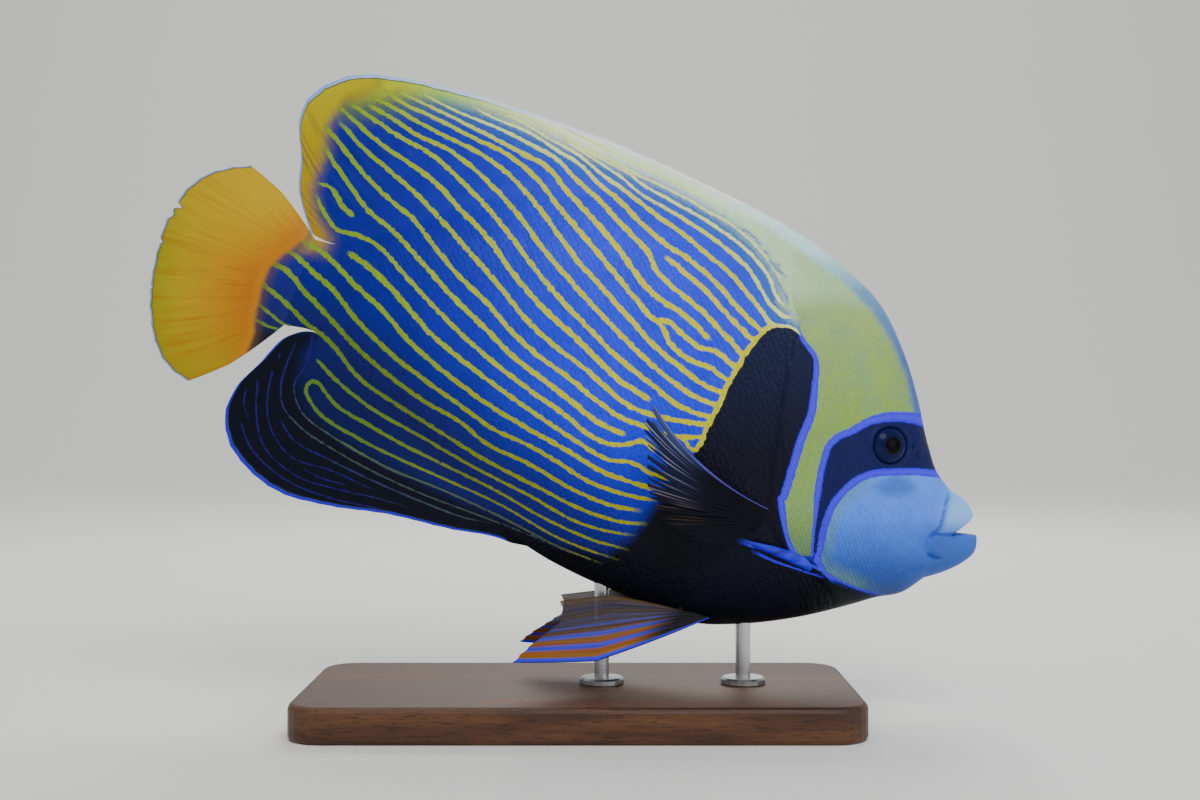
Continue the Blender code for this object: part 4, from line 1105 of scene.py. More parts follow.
def medianFin(name, setup, node, material):
    columns, rows = setup["steps"]
    t, share = np.linspace(0, 1, columns), np.linspace(0, 1, rows)
    front, rear = setup["root"]
    x = (front + (rear - front) * t) * mm
    height, side = setup["height"], setup["side"]
    slope = (height(x + mm) - height(x - mm)) / (2 * mm)
    up = np.stack([-slope, np.ones_like(slope)], axis=-1) * side
    up /= np.linalg.norm(up, axis=-1, keepdims=True)
    roots = np.stack([x, height(x)], axis=-1)  # exactly on the edge of the skin
    ends = smoothLineMm(setup["margin"], hermite(*np.array(setup["tips"]).T, t))
    grid = bentRays(roots, ends, setup["bow"] * ease(t, 0.2, 0.7), share)
    length = np.linalg.norm(ends - roots, axis=-1)
    inward = (ends - roots) / np.maximum(length, 1e-9)[:, None]
    trim = finEdge(t, setup) * ease(length, 3 * mm, 12 * mm)
    grid = grid - inward * trim[None, :, None] * share[:, None, None] ** 6
    collar, rootRow = (roots - up * finSetup[k] for k in ("collar", "rootRow"))
    grid = np.concatenate([rootRow[None], collar[None], grid])
    grid = grid - up * (setup["dive"] * (1 - ease(t, 0, 0.05)))[:, None]  # the front end starts in the body
    share = np.concatenate([[0, 0], share])[:, None]
    phase = t * (setup["count"] - 1)
    flesh = finSetup["marginHalf"] + (halfWidth(x, height(x)) - finSetup["marginHalf"]) * (1 - share) ** 1.6
    spine = np.clip(np.cos(2 * math.pi * phase), 0, 1) ** 2 * 1.1
    ridge = np.where(phase < setup["spines"], spine, rayProfile(phase, share))
    rise = np.minimum(share * 2.2, 1) ** 1.5
    half = flesh + finSetup["ridge"] * ridge * rise * (1 - 0.5 * share)
    fillet, lift = skinSetup["filletReach"], filletRise(x, side)
    half = half + lift * np.clip(1 - share * length / fillet, 0, 1) ** 2
    half[1] = halfWidth(*collar.T) + lift * (1 - finSetup["collar"] / fillet) ** 2 + finSetup["collarLift"]
    half[0] = half[1] - 0.6 * mm
    half[-1] *= finSetup["rimThins"]
    rim = np.minimum((1 - share) * length, t * finSetup["frontRim"])
    rimNear = np.clip(1 - rim / finSetup["rimReach"], 0, 1) * ease(length, 2 * mm, 6 * mm)
    extra = overGrid(half.shape, tail=finSetup["noTail"], rimNear=rimNear, rayPhase=phase, finOut=share)
    addMiddleFin(name, grid, half, extra, node, material)


# scales: solid plates in staggered rows, each rooted under the ones in front of it
coatSetup = {
    "body": {"pitch": 1.42 * mm, "wide": 2.85 * mm, "across": 6, "along": 5, "rise": 0.13 * mm},
    "head": {"pitch": 0.98 * mm, "wide": 1.95 * mm, "across": 5, "along": 4, "rise": 0.07 * mm},
    "patch": 0.006,  # how wide each scale's own patch is on the unwrap
    "splitAt": 112 * mm,  # the flank's scales are kept as two pieces, rear and front of this x
    "rows": (1 * mm, 277 * mm),
    "heights": (-76, 96),
    "onStem": (0.72, 5 * mm, 45 * mm),  # how much smaller they are on the tail stem, and where that ends
    "overlap": (2.6, 1.06),  # length over the rows' pitch, width over the spacing
    "rootDepth": 0.16 * mm,
    "crown": 0.05 * mm,
    "edgeGap": 0.06 * mm,
    "bareEye": 1.22,  # eye radii without scales
    "bareNostril": 2.2 * mm,
    "bareLips": (271 * mm, 270 * mm),  # above and below the mouth
    "placeJitter": 0.09 * mm,
    "sizeJitter": 0.09,
    "turnJitter": 0.06,
}
flankShape = rightFlank.shape[:2]
flankTree = BVHTree.FromPolygons(rightFlank.reshape(-1, 3).tolist(), gridQuads(*flankShape).tolist())
flankNormals = gridNormals(rightFlank)


def onFlank(spots):  # skin point, normal and unwrap place of the right flank at side-view spots (x, z)
    points, cells = np.zeros((len(spots), 3)), np.full(len(spots), -1)
    for k, (x, z) in enumerate(spots.tolist()):
        hit, _, cell, _ = flankTree.ray_cast((x, -0.1, z), (0, 1, 0))
        if cell is not None:
            points[k], cells[k] = hit, cell
    i, j = np.divmod(np.maximum(cells, 0), flankShape[1] - 1)
    return points, flankNormals[i, j], cells >= 0, np.stack([m[i, j] for m in flankUv], axis=-1)


def scaleRoots(setup, region):  # where each scale is rooted in the side view, and its size
    lattice = []
    smallest, *stem = coatSetup["onStem"]
    x, end = coatSetup["rows"]
    while x < end:
        shrink = smallest + (1 - smallest) * ease(x, *stem) if region == "body" else 1.0
        zs = np.arange(*coatSetup["heights"], setup["wide"] / mm) * mm
        zs = zs + (len(lattice) % 2) * setup["wide"] / 2
        lattice.append(np.stack([np.full(len(zs), x), zs, np.full(len(zs), shrink)], axis=-1))
        x = x + setup["pitch"] * shrink
    spots = np.concatenate(lattice)
    spots[:, :2] += rng.normal(0, coatSetup["placeJitter"], (len(spots), 2))
    x, z = spots[:, 0], spots[:, 1]
    gill = offLine(np.stack([x, x * 0, z], axis=-1), skinSetup["gillEdge"])[0]
    keep = (gill > 0) if region == "head" else (gill <= 0)
    keep &= np.minimum(backZ(x) - z, z - bellyZ(x)) > bodyShape["coatDepth"]
    ex, ez = np.array(skinSetup["eyeAt"]) * mm
    keep &= np.hypot(x - ex, z - ez) > skinSetup["eyeRadius"] * coatSetup["bareEye"]
    for nx, nz in np.array(skinSetup["nostrils"]) * mm:
        keep &= np.hypot(x - nx, z - nz) > coatSetup["bareNostril"]
    keep &= x < np.where(z > 0, *coatSetup["bareLips"])
    return spots[keep]


def buildScales(spots, setup):  # the right flank's scales, with the faces, unwrap and tint of each
    across, along = setup["across"], setup["along"]
    v = np.linspace(-1, 1, across)
    u = np.concatenate([np.linspace(0.06, 1, along), [1.0]])
    rear = 0.5 + 0.5 * np.sqrt(1 - 0.96 * v ** 2)  # rounded at the free end
    uu = u[:, None] * rear[None, :]
    vv = np.broadcast_to(v[None, :], uu.shape)
    depth = coatSetup["rootDepth"]
    lift = -depth + (setup["rise"] + depth) * uu ** 0.8 + coatSetup["crown"] * (1 - vv ** 2)
    lift[-1] = -depth  # the free edge turns down to the skin
    size = spots[:, 2] * (1 + rng.normal(0, coatSetup["sizeJitter"], len(spots)))
    long, wide = (setup[k] * over * size for k, over in zip(("pitch", "wide"), coatSetup["overlap"]))
    tilt = rng.normal(0, coatSetup["turnJitter"], len(spots)) + scaleLie(spots)
    dx, dz = -uu[None] * long[:, None, None], vv[None] * wide[:, None, None] / 2
    c, s = np.cos(tilt)[:, None, None], np.sin(tilt)[:, None, None]
    x = spots[:, 0][:, None, None] + setup["pitch"] + dx * c - dz * s
    z = spots[:, 1][:, None, None] + dx * s + dz * c
    gap = coatSetup["edgeGap"]
    z = np.clip(z, bellyZ(x) + gap, backZ(x) - gap)  # the outermost ones end on the body's edge
    points, normals, hit, unwrap = onFlank(np.stack([x, z], axis=-1).reshape(-1, 2))
    good = hit.reshape(x.shape).all(axis=(1, 2))
    # flatter towards the fins and on the snout
    soft = 0.12 + 0.88 * ease(np.minimum(backZ(x) - z, z - bellyZ(x)), 0.2 * mm, 5 * mm)
    soft = soft * (1 - 0.75 * ease(x, 248 * mm, 270 * mm))
    raised = lift[None] * np.where(lift[None] > 0, soft, 1)
    points = (points.reshape(*x.shape, 3) + normals.reshape(*x.shape, 3) * raised[..., None])[good]
    root = unwrap.reshape(*x.shape, 2)[good, 1, across // 2]
    local = np.stack([1 - uu, (vv + 1) / 2], axis=-1) - 0.5
    uvs = root[:, None, None, :] + local[None] * coatSetup["patch"]
    count = (along + 1) * across
    starts = np.arange(len(points))[:, None, None] * count
    quads = (gridQuads(along + 1, across) + starts).reshape(-1, 4)
    return points, quads, uvs, {"scaleTint": np.repeat(rng.uniform(-1, 1, len(points)), count)}


def scaleLie(spots):  # scales follow the line of the body: up towards the back, down towards the belly
    x, z = spots[:, 0], spots[:, 1]
    top, bottom = backZ(x), bellyZ(x)
    share = (2 * z - top - bottom) / (top - bottom)
    apart = np.arange(backLine.shape[1]) * 1e-9  # keeps the steps along both lines from being nil
    rise, fall = (np.interp(x, line[0], np.gradient(line[1], line[0] + apart))
                  for line in (backLine, bellyLine))
    return np.arctan(np.clip(np.where(share > 0, rise, fall), -1, 1)) * np.abs(share) ** 1.5 * 0.8


def addCoat(material):
    bodySpots = scaleRoots(coatSetup["body"], "body")
    rear = bodySpots[:, 0] < coatSetup["splitAt"]
    zones = {"RearScales": (bodySpots[rear], "body", "striped_skin"),
             "FrontScales": (bodySpots[~rear], "body", "striped_skin"),
             "HeadScales": (scaleRoots(coatSetup["head"], "head"), "head", "face_skin")}
    for zone, (spots, kind, slotName) in zones.items():
        points, quads, uvs, tints = buildScales(spots, coatSetup[kind])
        flat = points.reshape(-1, 3)
        marks = {**markings(flat), **tints}
        if kind == "head":
            marks.update(foldMarks(flat))
        for sideName, side in (("right", -1), ("left", 1)):
            world = place(points * (1, -side, 1))
            normals = np.cross(np.gradient(world, axis=1), np.gradient(world, axis=2))
            normals /= np.maximum(np.linalg.norm(normals, axis=-1, keepdims=True), 1e-12)
            if np.sum(normals[..., 1] * side) < 0:
                normals = -normals
            normals[:, -1] = normals[:, -2]
            outwards = quads if side * zoneWinding(points, quads) > 0 else quads[:, ::-1]
            places = (uvs + (0, 0.5 if side > 0 else 0)).reshape(-1, 2)
            piece = addMesh(sideName + zone, world.reshape(-1, 3), outwards, places, marks, normals, material)
        print("scales:", zone, len(points), "a side,", len(quads) * 2, "triangles a side")


def zoneWinding(points, quads):  # +1 where the faces of the right side look out to +y once mirrored, else -1
    a, b, c = (points.reshape(-1, 3)[quads[:400, k]] for k in (0, 1, 2))
    return 1 if np.sum(np.cross(b - a, c - a)[:, 1]) > 0 else -1


addCoat(scaledSkinMaterial("airbrushedScales", 0.05))


medianFin("dorsalFin", finSetup["dorsal"], "dorsal_fin", skinMaterial)
medianFin("analFin", finSetup["anal"], "anal_fin", skinMaterial)
print("median fins built")


def tailFin(setup, material):
    columns, rows = setup["steps"]
    t, share = np.linspace(0, 1, columns), np.linspace(0, 1, rows)
    top, bottom = bodyShape["back"][0][1] * mm, bodyShape["belly"][0][1] * mm
    roots = np.stack([np.zeros(columns), top * (1 - t) + bottom * t], axis=-1)
    ends = smoothLineMm(setup["margin"], t)
    bow = setup["bulge"] * ((1 - t) ** 6 - t ** 6)  # both outer edges bulge a little
    grid = bentRays(roots, ends, bow, share, 0.5)
    length = np.linalg.norm(ends - roots, axis=-1)
    inward = (ends - roots) / length[:, None]
    trim = finEdge(t, setup)
    for at, depth, wide in setup["notches"]:
        trim = trim + depth * mm * hump(t, at, wide)
    grid = grid - inward * trim[None, :, None] * share[:, None, None] ** 6
    grid = np.concatenate([(roots + (setup["sunk"], 0))[None], grid])
    share = np.concatenate([[0], share])[:, None]
    phase = t * (setup["count"] - 1)
    rootHalf = halfWidth(*roots.T)
    flesh = finSetup["marginHalf"] + (rootHalf - finSetup["marginHalf"]) * (1 - share) ** 2.4
    rise = np.minimum(share * 3, 1) ** 1.5
    half = flesh + setup["ridge"] * rayProfile(phase, share, split=0.3) * rise * (1 - 0.5 * share)
    half[0] = half[1] - 0.8 * mm
    half[-1] *= finSetup["rimThins"]
    rimAway = (1 - share) * length / mm
    extra = overGrid(half.shape, rayPhase=phase, finOut=share, rimAway=rimAway, rayAlong=t)
    addMiddleFin("tailFin", grid, half, extra, "caudal_fin", material)


def pairedFin(name, setup, side, node, material):
    columns, rows = setup["steps"]
    t, share = np.linspace(0, 1, columns), np.linspace(0, 1, rows)
    roots, tips = smoothLineMm(setup["root"], t), smoothLineMm(setup["margin"], t)
    length = np.linalg.norm(tips - roots, axis=-1, keepdims=True)
    outward = (tips - roots) / length
    phase = t * (setup["count"] - 1)
    bow = setup["sag"][0] * (1 - t) ** 2 + setup["sag"][1] * t ** 2
    grid = bentRays(roots - outward * setup["sunk"], tips, bow, share, setup["late"])
    trim = finSetup["pairedTrim"] * (np.abs(np.sin(math.pi * phase)) ** 0.7 + 0.5 * np.sin(t * 37))
    grid = grid - outward * trim[None, :, None] * share[:, None, None] ** 5
    share = share[:, None]
    out = share * (length[:, 0] + setup["sunk"]) - setup["sunk"]
    rootY = halfWidth(*roots.T) if setup["rootY"] is None else setup["rootY"]
    y = rootY + out * np.tan(setup["splay"][0] * (1 - t) + setup["splay"][1] * t)
    middle = np.stack([grid[..., 0], side * y, grid[..., 1]], axis=-1)
    thin, thick = finSetup["pairedHalf"]
    flesh = thin + (thick - thin) * (1 - np.clip((share - 0.05) / 0.95, 0, 1)) ** 1.6
    rise = np.minimum(share * 4, 1) * (1 - 0.5 * share)
    half = flesh + finSetup["pairedRidge"] * rayProfile(phase, share) * rise
    half[-1] *= 0.5
    extra = overGrid(half.shape, rayPhase=phase, finOut=share, rayAlong=t)
    piece = addFin(name, middle, gridNormals(middle), half, extra, material)
    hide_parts(node)


tailColours = {
    "along": [(0.0, "#a85e00"), (0.25, "#b87400"), (0.5, "#bc8800"), (0.8, "#ac9200"), (1.0, "#8f8a00")],
    "top": "#c09e00",
    "low": "#9a8200",
    "glow": "#b05c00",
    "streak": "#a05a00",
    "rimDark": "#38401a",
    "rimPale": "#7f8fb4",
}


def tailMaterial():
    # thin fin membrane over bony rays, cast in tinted resin: satin, with soft streaks fanning from the root
    made, tree, shader = newMaterial("tintedMembrane", Roughness=0.45, IOR=1.42, Specular_IOR_Level=0.28)
    body, _, fine = paintMarks(tree, skinColours)
    out, along, phase, rim, tail = (addNode(tree, "Attribute", out=2, attribute_name=name)
                                    for name in ("finOut", "rayAlong", "rayPhase", "rimAway", "tail"))
    colour = addNode(tree, "ValToRGB", out, stops=tailColours["along"])
    high = addNode(tree, "Math", addNode(tree, "MapRange", along, 0.55, 0.05, **eased),
                   addNode(tree, "MapRange", out, 0.1, 0.6, **eased), **times)
    colour = addNode(tree, "Mix", high, colour, tailColours["top"], **colourMix)
    lower = addNode(tree, "MapRange", along, 0.6, 1.0, 0.0, 0.7, **eased)
    colour = addNode(tree, "Mix", lower, colour, tailColours["low"], **colourMix)
    middle = addNode(tree, "Math", addNode(tree, "MapRange", along, 0.3, 0.6, **eased),
                     addNode(tree, "MapRange", out, 0.75, 0.1, 0.0, 0.7, **eased), **times)
    colour = addNode(tree, "Mix", middle, colour, tailColours["glow"], **colourMix)
    fan = addNode(tree, "CombineXYZ", addNode(tree, "Math", phase, 2.6, **times),
                  addNode(tree, "Math", out, 1.3, **times))
    streak = addNode(tree, "TexNoise", fan, 1.3, 4.0, 0.6)
    amount = addNode(tree, "Math", addNode(tree, "MapRange", streak, 0.45, 0.75, 0.0, 0.6, **eased),
                     addNode(tree, "MapRange", along, 0.1, 0.45, 0.25, 1.0), **times)
    colour = addNode(tree, "Mix", amount, colour, tailColours["streak"], **colourMix)
    ragged = addNode(tree, "MapRange", fine, 0.0, 1.0, -0.3, 0.3)
    rimAt = addNode(tree, "Math", rim, ragged, **plus)
    colour = addNode(tree, "Mix", addNode(tree, "MapRange", rimAt, 1.35, 0.9, **eased), colour,
                     tailColours["rimDark"], **colourMix)
    colour = addNode(tree, "Mix", addNode(tree, "MapRange", rimAt, 0.9, 0.65, **eased), colour,
                     tailColours["rimPale"], **colourMix)
    colour = addNode(tree, "Mix", addNode(tree, "MapRange", tail, 4.0, 11.0, **eased), body, colour,
                     **colourMix)
    tree.links.new(colour, shader.inputs["Base Color"])
    tree.links.new(addNode(tree, "Bump", 0.2, 0.15 * mm, None, streak), shader.inputs["Normal"])
    return made


pectoralColours = {
    "root": "#0b0d16",
    "smoke": "#151a36",
    # painted highlight along the leading edge
    "leadHighlight": "#5a50c0",
    "leadTip": "#39466e",
    "hair": [(0.1, "#8a94b4"), (0.45, "#7e7680"), (0.6, "#54381e")],
}


def pectoralMaterial():
    # dark resin over hair-thin rays, frayed at its tips: each hair is solid, with clear gaps between them
    made, tree, shader = newMaterial("smokyMembrane", Roughness=0.5, IOR=1.42, Specular_IOR_Level=0.1)
    out, along, phase = (addNode(tree, "Attribute", out=2, attribute_name=name)
                         for name in ("finOut", "rayAlong", "rayPhase"))
    fan = addNode(tree, "CombineXYZ", addNode(tree, "Math", phase, 1.9, **times),
                  addNode(tree, "Math", out, 0.7, **times))
    hair = addNode(tree, "TexNoise", fan, 1.2, 0.0)
    shine = addNode(tree, "TexNoise", fan, 1.7, 0.0)
    upper = addNode(tree, "MapRange", along, 0.6, 0.25, **eased)
    outer = addNode(tree, "MapRange", out, 0.4, 0.8, **eased)
    colour = addNode(tree, "Mix", addNode(tree, "Math", outer, upper, **times), pectoralColours["root"],
                     pectoralColours["smoke"], **colourMix)
    band = addNode(tree, "Math", addNode(tree, "MapRange", along, 0.11, 0.03, 0.0, 0.8, **eased), outer,
                   **times)
    colour = addNode(tree, "Mix", band, colour, pectoralColours["leadTip"], **colourMix)
    bright = addNode(tree, "Math", addNode(tree, "MapRange", shine, 0.55, 0.65, 0.0, 0.7, **eased),
                     addNode(tree, "MapRange", out, 0.5, 0.85, **eased), **times)
    bright = addNode(tree, "Math", bright, addNode(tree, "MapRange", along, 0.75, 0.6, **eased), **times)
    colour = addNode(tree, "Mix", bright, colour,
                     addNode(tree, "ValToRGB", along, stops=pectoralColours["hair"]), **colourMix)
    # a blue line along the leading edge: painted highlight
    leadHighlight = addNode(tree, "Math", addNode(tree, "MapRange", along, 0.035, 0.012, **eased),
                   addNode(tree, "MapRange", out, 0.75, 0.45, 0.2, 1.0, **eased), **times)
    colour = addNode(tree, "Mix", leadHighlight, colour, pectoralColours["leadHighlight"], **colourMix)
    tree.links.new(colour, shader.inputs["Base Color"])
    fray = addNode(tree, "MapRange", out, 0.74, 1.0, 0.24, 0.54)
    fray = addNode(tree, "Math", fray, addNode(tree, "MapRange", along, 0.8, 0.95, 1.0, 0.5), **times)
    gap = addNode(tree, "MapRange", addNode(tree, "Math", fray, hair, operation="SUBTRACT"), -0.01, 0.01)
    tree.links.new(addNode(tree, "Math", 1.0, gap, operation="SUBTRACT"), shader.inputs["Alpha"])
    tree.links.new(addNode(tree, "Bump", 0.1, 0.1 * mm, None, hair), shader.inputs["Normal"])
    return made


pelvicColours = {
    "bands": [(0.0, "#1c10d0"), (0.04, "#2a22dc"), (0.06, "#8a5c08"), (0.15, "#8e4a10"), (0.18, "#2a28c8"),
              (0.22, "#3438cc"), (0.25, "#86480e"), (0.33, "#74501c"), (0.36, "#3438c0"), (0.40, "#3a3eb0"),
              (0.44, "#5c3c1e"), (0.50, "#46342c"), (0.54, "#3c4094"), (0.60, "#46382e"), (0.68, "#403c60"),
              (0.76, "#463828"), (0.86, "#38344a"), (1.0, "#5c4626")],
    "root": "#06080e",
}


def pelvicMaterial():
    # banded fin of tinted resin: strong bands along the leading rays, glassy brown behind them
    made, tree, shader = newMaterial("bandedMembrane", Roughness=0.42, IOR=1.42, Specular_IOR_Level=0.2)
    out, along, phase = (addNode(tree, "Attribute", out=2, attribute_name=name)
                         for name in ("finOut", "rayAlong", "rayPhase"))
    fan = addNode(tree, "CombineXYZ", addNode(tree, "Math", phase, 5.0, **times),
                  addNode(tree, "Math", out, 1.0, **times))
    hair = addNode(tree, "TexNoise", fan, 1.2, 3.0, 0.6)
    wander = addNode(tree, "MapRange", hair, 0.0, 1.0, -0.02, 0.02)
    bands = addNode(tree, "ValToRGB", addNode(tree, "Math", along, wander, **plus),
                    stops=pelvicColours["bands"])
    dark = addNode(tree, "MapRange", hair, 0.5, 0.7, 0.0, 0.35, **eased)
    colour = addNode(tree, "Mix", dark, bands, pelvicColours["root"], **colourMix)
    root = addNode(tree, "MapRange", addNode(tree, "Math", along, 0.35, out, **timesPlus), 0.25, 0.5, **eased)
    root = addNode(tree, "Math", root, addNode(tree, "MapRange", along, 0.05, 0.03), operation="MAXIMUM")
    colour = addNode(tree, "Mix", root, pelvicColours["root"], colour, **colourMix)
    tree.links.new(colour, shader.inputs["Base Color"])
    clear = addNode(tree, "Math", addNode(tree, "MapRange", along, 0.3, 0.75, 0.05, 0.3, **eased),
                    addNode(tree, "MapRange", out, 0.3, 0.8, **eased), **times)
    clear = addNode(tree, "Math", clear, addNode(tree, "MapRange", dark, 0.0, 0.35, 1.0, 0.6), **times)
    tree.links.new(addNode(tree, "Math", 1.0, clear, operation="SUBTRACT"), shader.inputs["Alpha"])
    tree.links.new(addNode(tree, "Bump", 0.15, 0.1 * mm, None, hair), shader.inputs["Normal"])
    return made


tailFin(finSetup["tail"], tailMaterial())
smoky, banded = pectoralMaterial(), pelvicMaterial()
for sideName, side in (("Left", 1), ("Right", -1)):
    for kind, slotName, finish in (("pectoral", "smoky_fin", smoky), ("pelvic", "navy_fin", banded)):
        node = kind + "_fin_" + sideName.lower()
        pairedFin(kind + "Fin" + sideName, finSetup[kind], side, node, finish)
print("paired fins and tail built")

# eyes
eyeSetup = {
    "radii": np.array([8, 8, 5]) * mm,
    "sunk": 2.8 * mm,
    "cornea": (0.35 * mm, 0.45),  # height, width over that of the eye
    "covers": math.pi * 0.62,  # how far round from its front the eye is made
    "steps": (48, 73),
    "grain": 1.43 * mm,
    "colours": [(0.0, "#020308"), (0.41, "#020308"), (0.45, "#1c1e2c"), (0.49, "#0d1238"), (0.78, "#11184a"),
                (0.90, "#0e1438"), (1.0, "#0a0e2a")],  # pupil, its thin ring, iris, rim
}


def evenMap(rows, columns):  # places on the map for a grid that fills it
    shares = np.meshgrid(np.linspace(0, 1, rows), np.linspace(0, 1, columns), indexing="ij")
    return np.stack(shares, axis=-1).reshape(-1, 2)


def facingOut(world, centre):  # normals and faces of a grid, turned away from the centre
    normals, quads = gridNormals(world), gridQuads(*world.shape[:2])
    if np.sum(normals * (world - centre)) < 0:
        return -normals, quads[:, ::-1]
    return normals, quads


def flankNormal(x, z, side):
    step = 2 * mm
    slopeX = (halfWidth(x + step, z) - halfWidth(x - step, z)) / (2 * step)
    slopeZ = (halfWidth(x, z + step) - halfWidth(x, z - step)) / (2 * step)
    normal = np.array([-slopeX, side, -slopeZ])
    return normal / np.linalg.norm(normal)


def eyeMaterial():
    # clear cornea over a dark iris, cast and polished in resin: near black, with one small highlight
    made, tree, shader = newMaterial("polishedEye", Roughness=0.12, IOR=1.376, Specular_IOR_Level=0.12)
    off = addNode(tree, "Attribute", out=2, attribute_name="fromAxis")
    grain = addNode(tree, "TexNoise", addNode(tree, "TexCoord", out=3), 1 / eyeSetup["grain"], 3.0)
    at = addNode(tree, "Math", grain, 0.05, off, **timesPlus)
    tree.links.new(addNode(tree, "ValToRGB", at, stops=eyeSetup["colours"]), shader.inputs["Base Color"])
    return made


def buildEye(sideName, side, material):
    x, z = np.array(skinSetup["eyeAt"]) * mm
    outward = flankNormal(x, z, side)
    centre = np.array([x, side * halfWidth(x, z), z]) - outward * eyeSetup["sunk"]
    across = np.cross(outward, (0, 0, 1))
    across /= np.linalg.norm(across)
    upward = np.cross(outward, across)
    rows, columns = eyeSetup["steps"]
    lat = np.linspace(0.0, eyeSetup["covers"], rows)[:, None]
    turn = np.linspace(0, 2 * math.pi, columns)
    ring, rise = np.sin(lat), np.cos(lat)
    height, wide = eyeSetup["cornea"]
    bulge = height * hump(ring, 0, wide) * (rise > 0)
    radii = eyeSetup["radii"]
    rightwards = (ring * np.cos(turn) * radii[0])[..., None] * across
    upwards = (ring * np.sin(turn) * radii[1])[..., None] * upward
    world = place(centre + rightwards + upwards + (rise * radii[2] + bulge)[..., None] * outward)
    normals, quads = facingOut(world, place(centre))
    normals[0] = place(centre + outward * mm) - place(centre)
    normals[0] /= np.linalg.norm(normals[0], axis=-1, keepdims=True)
    fromAxis = np.broadcast_to(np.minimum(ring + (lat > math.pi / 2), 1), (rows, columns))
    piece = addMesh("eye" + sideName, world.reshape(-1, 3), quads, evenMap(rows, columns)[:, ::-1],
                    {"fromAxis": fromAxis}, normals, material)
    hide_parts("eye_" + sideName.lower())


wetEye = eyeMaterial()
for sideName, side in (("Left", 1), ("Right", -1)):
    buildEye(sideName, side, wetEye)

# cheek spines
spineSetup = {
    # in millimetres, from the cheek to the tip
    "path": [(238, -34.2), (225, -33.2), (213, -33.1), (202.5, -33.3)],
    "lift": [-2.8, 0.2, 1.4, 2.4],
    "halfHigh": [3.0, 2.4, 1.6, 0.35],
    "halfDeep": [1.9, 1.6, 1.1, 0.3],
    "point": 0.8 * mm,  # how far the tip runs past the last ring
    "steps": (44, 25),
    "streaks": (16.7 * mm, 3.33 * mm, 2.38 * mm),  # lengthwise and across
    "colours": [(0.3, "#120e8c"), (0.5, "#1d18d0"), (0.72, "#3a36f4")],
    "tip": "#0a0c3c",
}


def perMetre(sizes):  # how often a pattern of these sizes repeats in a metre
    return tuple(1 / size for size in sizes)


def spineMaterial():
    # bone spine under blue skin, moulded in resin: an even satin with faint lengthwise streaks
    made, tree, shader = newMaterial("mouldedSpine", Roughness=0.38, IOR=1.45, Specular_IOR_Level=0.3)
    turned = (0.0, pose["headDown"], 0.0)
    along = addNode(tree, "Mapping", addNode(tree, "TexCoord", out=3), None, turned,
                    perMetre(spineSetup["streaks"]))
    streak = addNode(tree, "TexNoise", along, 1.0, 3.0)
    colour = addNode(tree, "ValToRGB", streak, stops=spineSetup["colours"])
    out = addNode(tree, "Attribute", out=2, attribute_name="spineAlong")
    tip = addNode(tree, "MapRange", out, 0.6, 1.0, 0.0, 0.7)
    colour = addNode(tree, "Mix", tip, colour, spineSetup["tip"], **colourMix)
    tree.links.new(colour, shader.inputs["Base Color"])
    return made


def buildSpine(sideName, side, material):
    rows, columns = spineSetup["steps"]
    guides = range(len(spineSetup["path"]))
    steps = np.linspace(0, guides[-1], rows)
    line = hermite(guides, np.array(spineSetup["path"]) * mm, steps)
    lift, high, deep = (hermite(guides, np.array(spineSetup[k]) * mm, steps)[:, None]
                        for k in ("lift", "halfHigh", "halfDeep"))
    turn = np.linspace(0, 2 * math.pi, columns)
    y = halfWidth(line[:, :1], line[:, 1:]) + lift + np.cos(turn) * deep
    x = np.broadcast_to(line[:, :1], y.shape)
    grid = np.stack([x, side * y, line[:, 1:] + np.sin(turn) * high], axis=-1)
    point = grid[-1].mean(axis=0) - (spineSetup["point"], 0, 0)
    world = place(np.concatenate([grid, np.broadcast_to(point, (1, columns, 3))]))
    normals, quads = facingOut(world, world.mean(axis=1, keepdims=True))
    along = {"spineAlong": np.repeat(np.linspace(0, 1, rows + 1), columns)}
    piece = addMesh("cheekSpine" + sideName, world.reshape(-1, 3), quads, evenMap(rows + 1, columns), along,
                    normals, material)
    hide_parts("cheek_spine_" + sideName.lower())


blueSpine = spineMaterial()
for sideName, side in (("Left", 1), ("Right", -1)):
    buildSpine(sideName, side, blueSpine)
print("eyes and cheek spines built")

# stand
standSetup = {
    "walnut": [(0.25, "#2a170d"), (0.45, "#462a18"), (0.6, "#5c3a22"), (0.78, "#704c2e")],
    "pore": "#1d100a",
    "grain": (143 * mm, 12.5 * mm, 12.5 * mm),  # lengthwise and across
    "pores": (6.67 * mm, 0.588 * mm, 0.588 * mm),
    "steel": [(0.2, "#a9abad"), (0.8, "#c9cacb")],
    "brushing": (16.7 * mm, 16.7 * mm, 0.3846 * mm),  # coarser than real, so that it shows
}


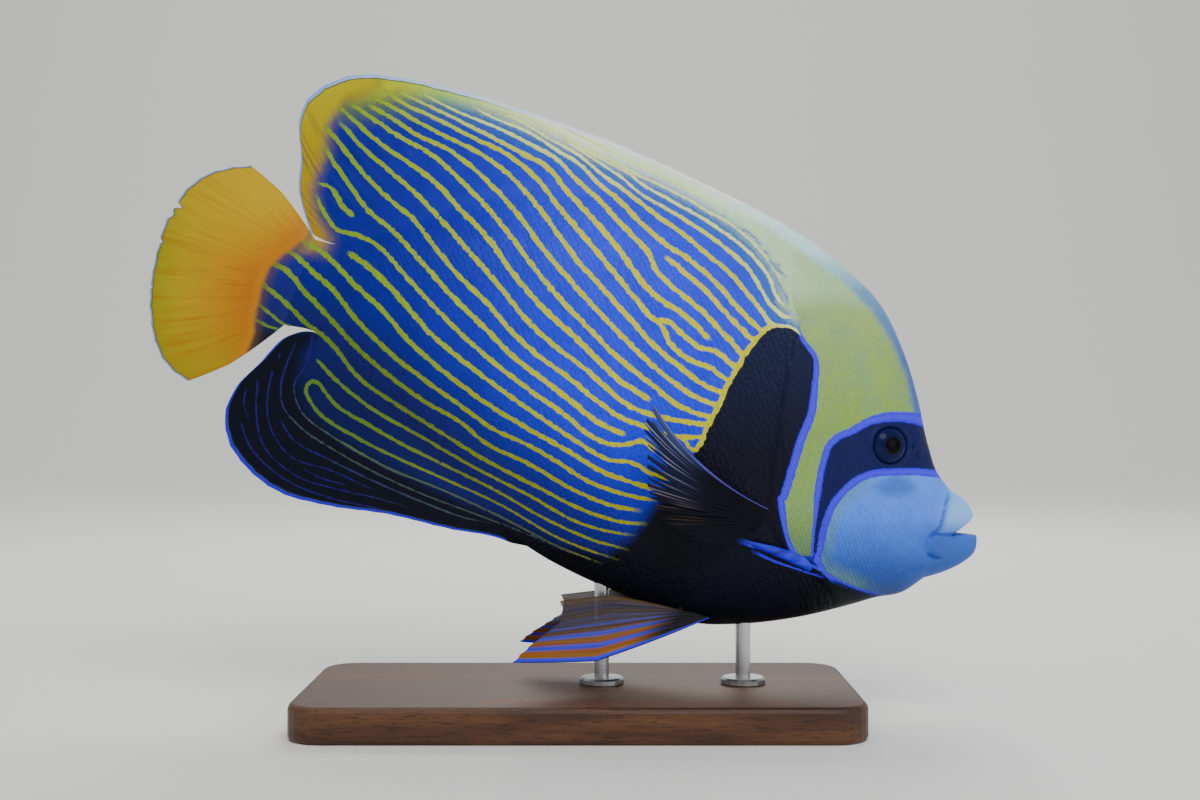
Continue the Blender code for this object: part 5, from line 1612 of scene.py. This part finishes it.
def woodMaterial():
    # walnut, planed, sanded and oiled: long dark grain under a low sheen
    made, tree, shader = newMaterial("oiledWalnut", Roughness=0.5, IOR=1.5, Specular_IOR_Level=0.35)
    spot = addNode(tree, "TexCoord", out=3)
    long = addNode(tree, "Mapping", spot, None, None, perMetre(standSetup["grain"]))
    grain = addNode(tree, "TexNoise", long, 1.0, 6.0, 0.62, 2.0, 0.9)
    short = addNode(tree, "Mapping", spot, None, None, perMetre(standSetup["pores"]))
    pore = addNode(tree, "TexNoise", short, 1.0, 2.0)
    colour = addNode(tree, "ValToRGB", grain, stops=standSetup["walnut"])
    pores = addNode(tree, "MapRange", pore, 0.56, 0.66, 0.0, 0.6, **eased)
    colour = addNode(tree, "Mix", pores, colour, standSetup["pore"], **colourMix)
    tree.links.new(colour, shader.inputs["Base Color"])
    tree.links.new(addNode(tree, "Bump", 0.3, 0.15 * mm, None, pore), shader.inputs["Normal"])
    tree.links.new(addNode(tree, "MapRange", grain, 0.0, 1.0, 0.4, 0.6), shader.inputs["Roughness"])
    return made


def steelMaterial():
    # stainless steel rod, brushed round with a cloth: fine rings and a soft highlight
    made, tree, shader = newMaterial("brushedSteel", Roughness=0.28, Metallic=1.0)
    rings = addNode(tree, "Mapping", addNode(tree, "TexCoord", out=3), None, None,
                    perMetre(standSetup["brushing"]))
    brush = addNode(tree, "TexNoise", rings, 1.0, 3.0)
    colour = addNode(tree, "ValToRGB", brush, stops=standSetup["steel"])
    tree.links.new(colour, shader.inputs["Base Color"])
    tree.links.new(addNode(tree, "MapRange", brush, 0.0, 1.0, 0.22, 0.4), shader.inputs["Roughness"])
    tree.links.new(addNode(tree, "Bump", 0.08, 0.05 * mm, None, brush), shader.inputs["Normal"])
    return made


walnut, steel = woodMaterial(), steelMaterial()
for name, finish in (("stand_base", walnut), ("stand_rod_front", steel), ("stand_rod_rear", steel)):
    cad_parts[name].material_slots[0].material = finish
print("stand finished")

# floor
floorSetup = {"front": -4.0, "flatTo": 2.2, "radius": 1.6, "top": 6.0, "half": 7.0, "colour": "#f1f0ec"}
bend = np.radians(np.linspace(0, 90, 25))  # it runs back, then curves up behind the stand as one sheet
flatTo, radius = floorSetup["flatTo"], floorSetup["radius"]
sweep = [(floorSetup["front"], 0.0),
         *((flatTo + radius * math.sin(a), radius - radius * math.cos(a)) for a in bend),
         (flatTo + radius, floorSetup["top"])]
floorMesh = bpy.data.meshes.new("floor")
floorMesh.from_pydata([(x * floorSetup["half"], y, z) for y, z in sweep for x in (-1, 1)], [],
                      [(2 * k, 2 * k + 1, 2 * k + 3, 2 * k + 2) for k in range(len(sweep) - 1)])
floorMesh.shade_smooth()
floor = bpy.data.objects.new("floor", floorMesh)
bpy.context.scene.collection.objects.link(floor)
# backdrop paper, matt: pale, with soft shadows
floorFinish, _, floorShader = newMaterial("paleFloor", Roughness=0.8)
floorShader.inputs["Base Color"].default_value = srgb(floorSetup["colour"])
floorMesh.materials.append(floorFinish)
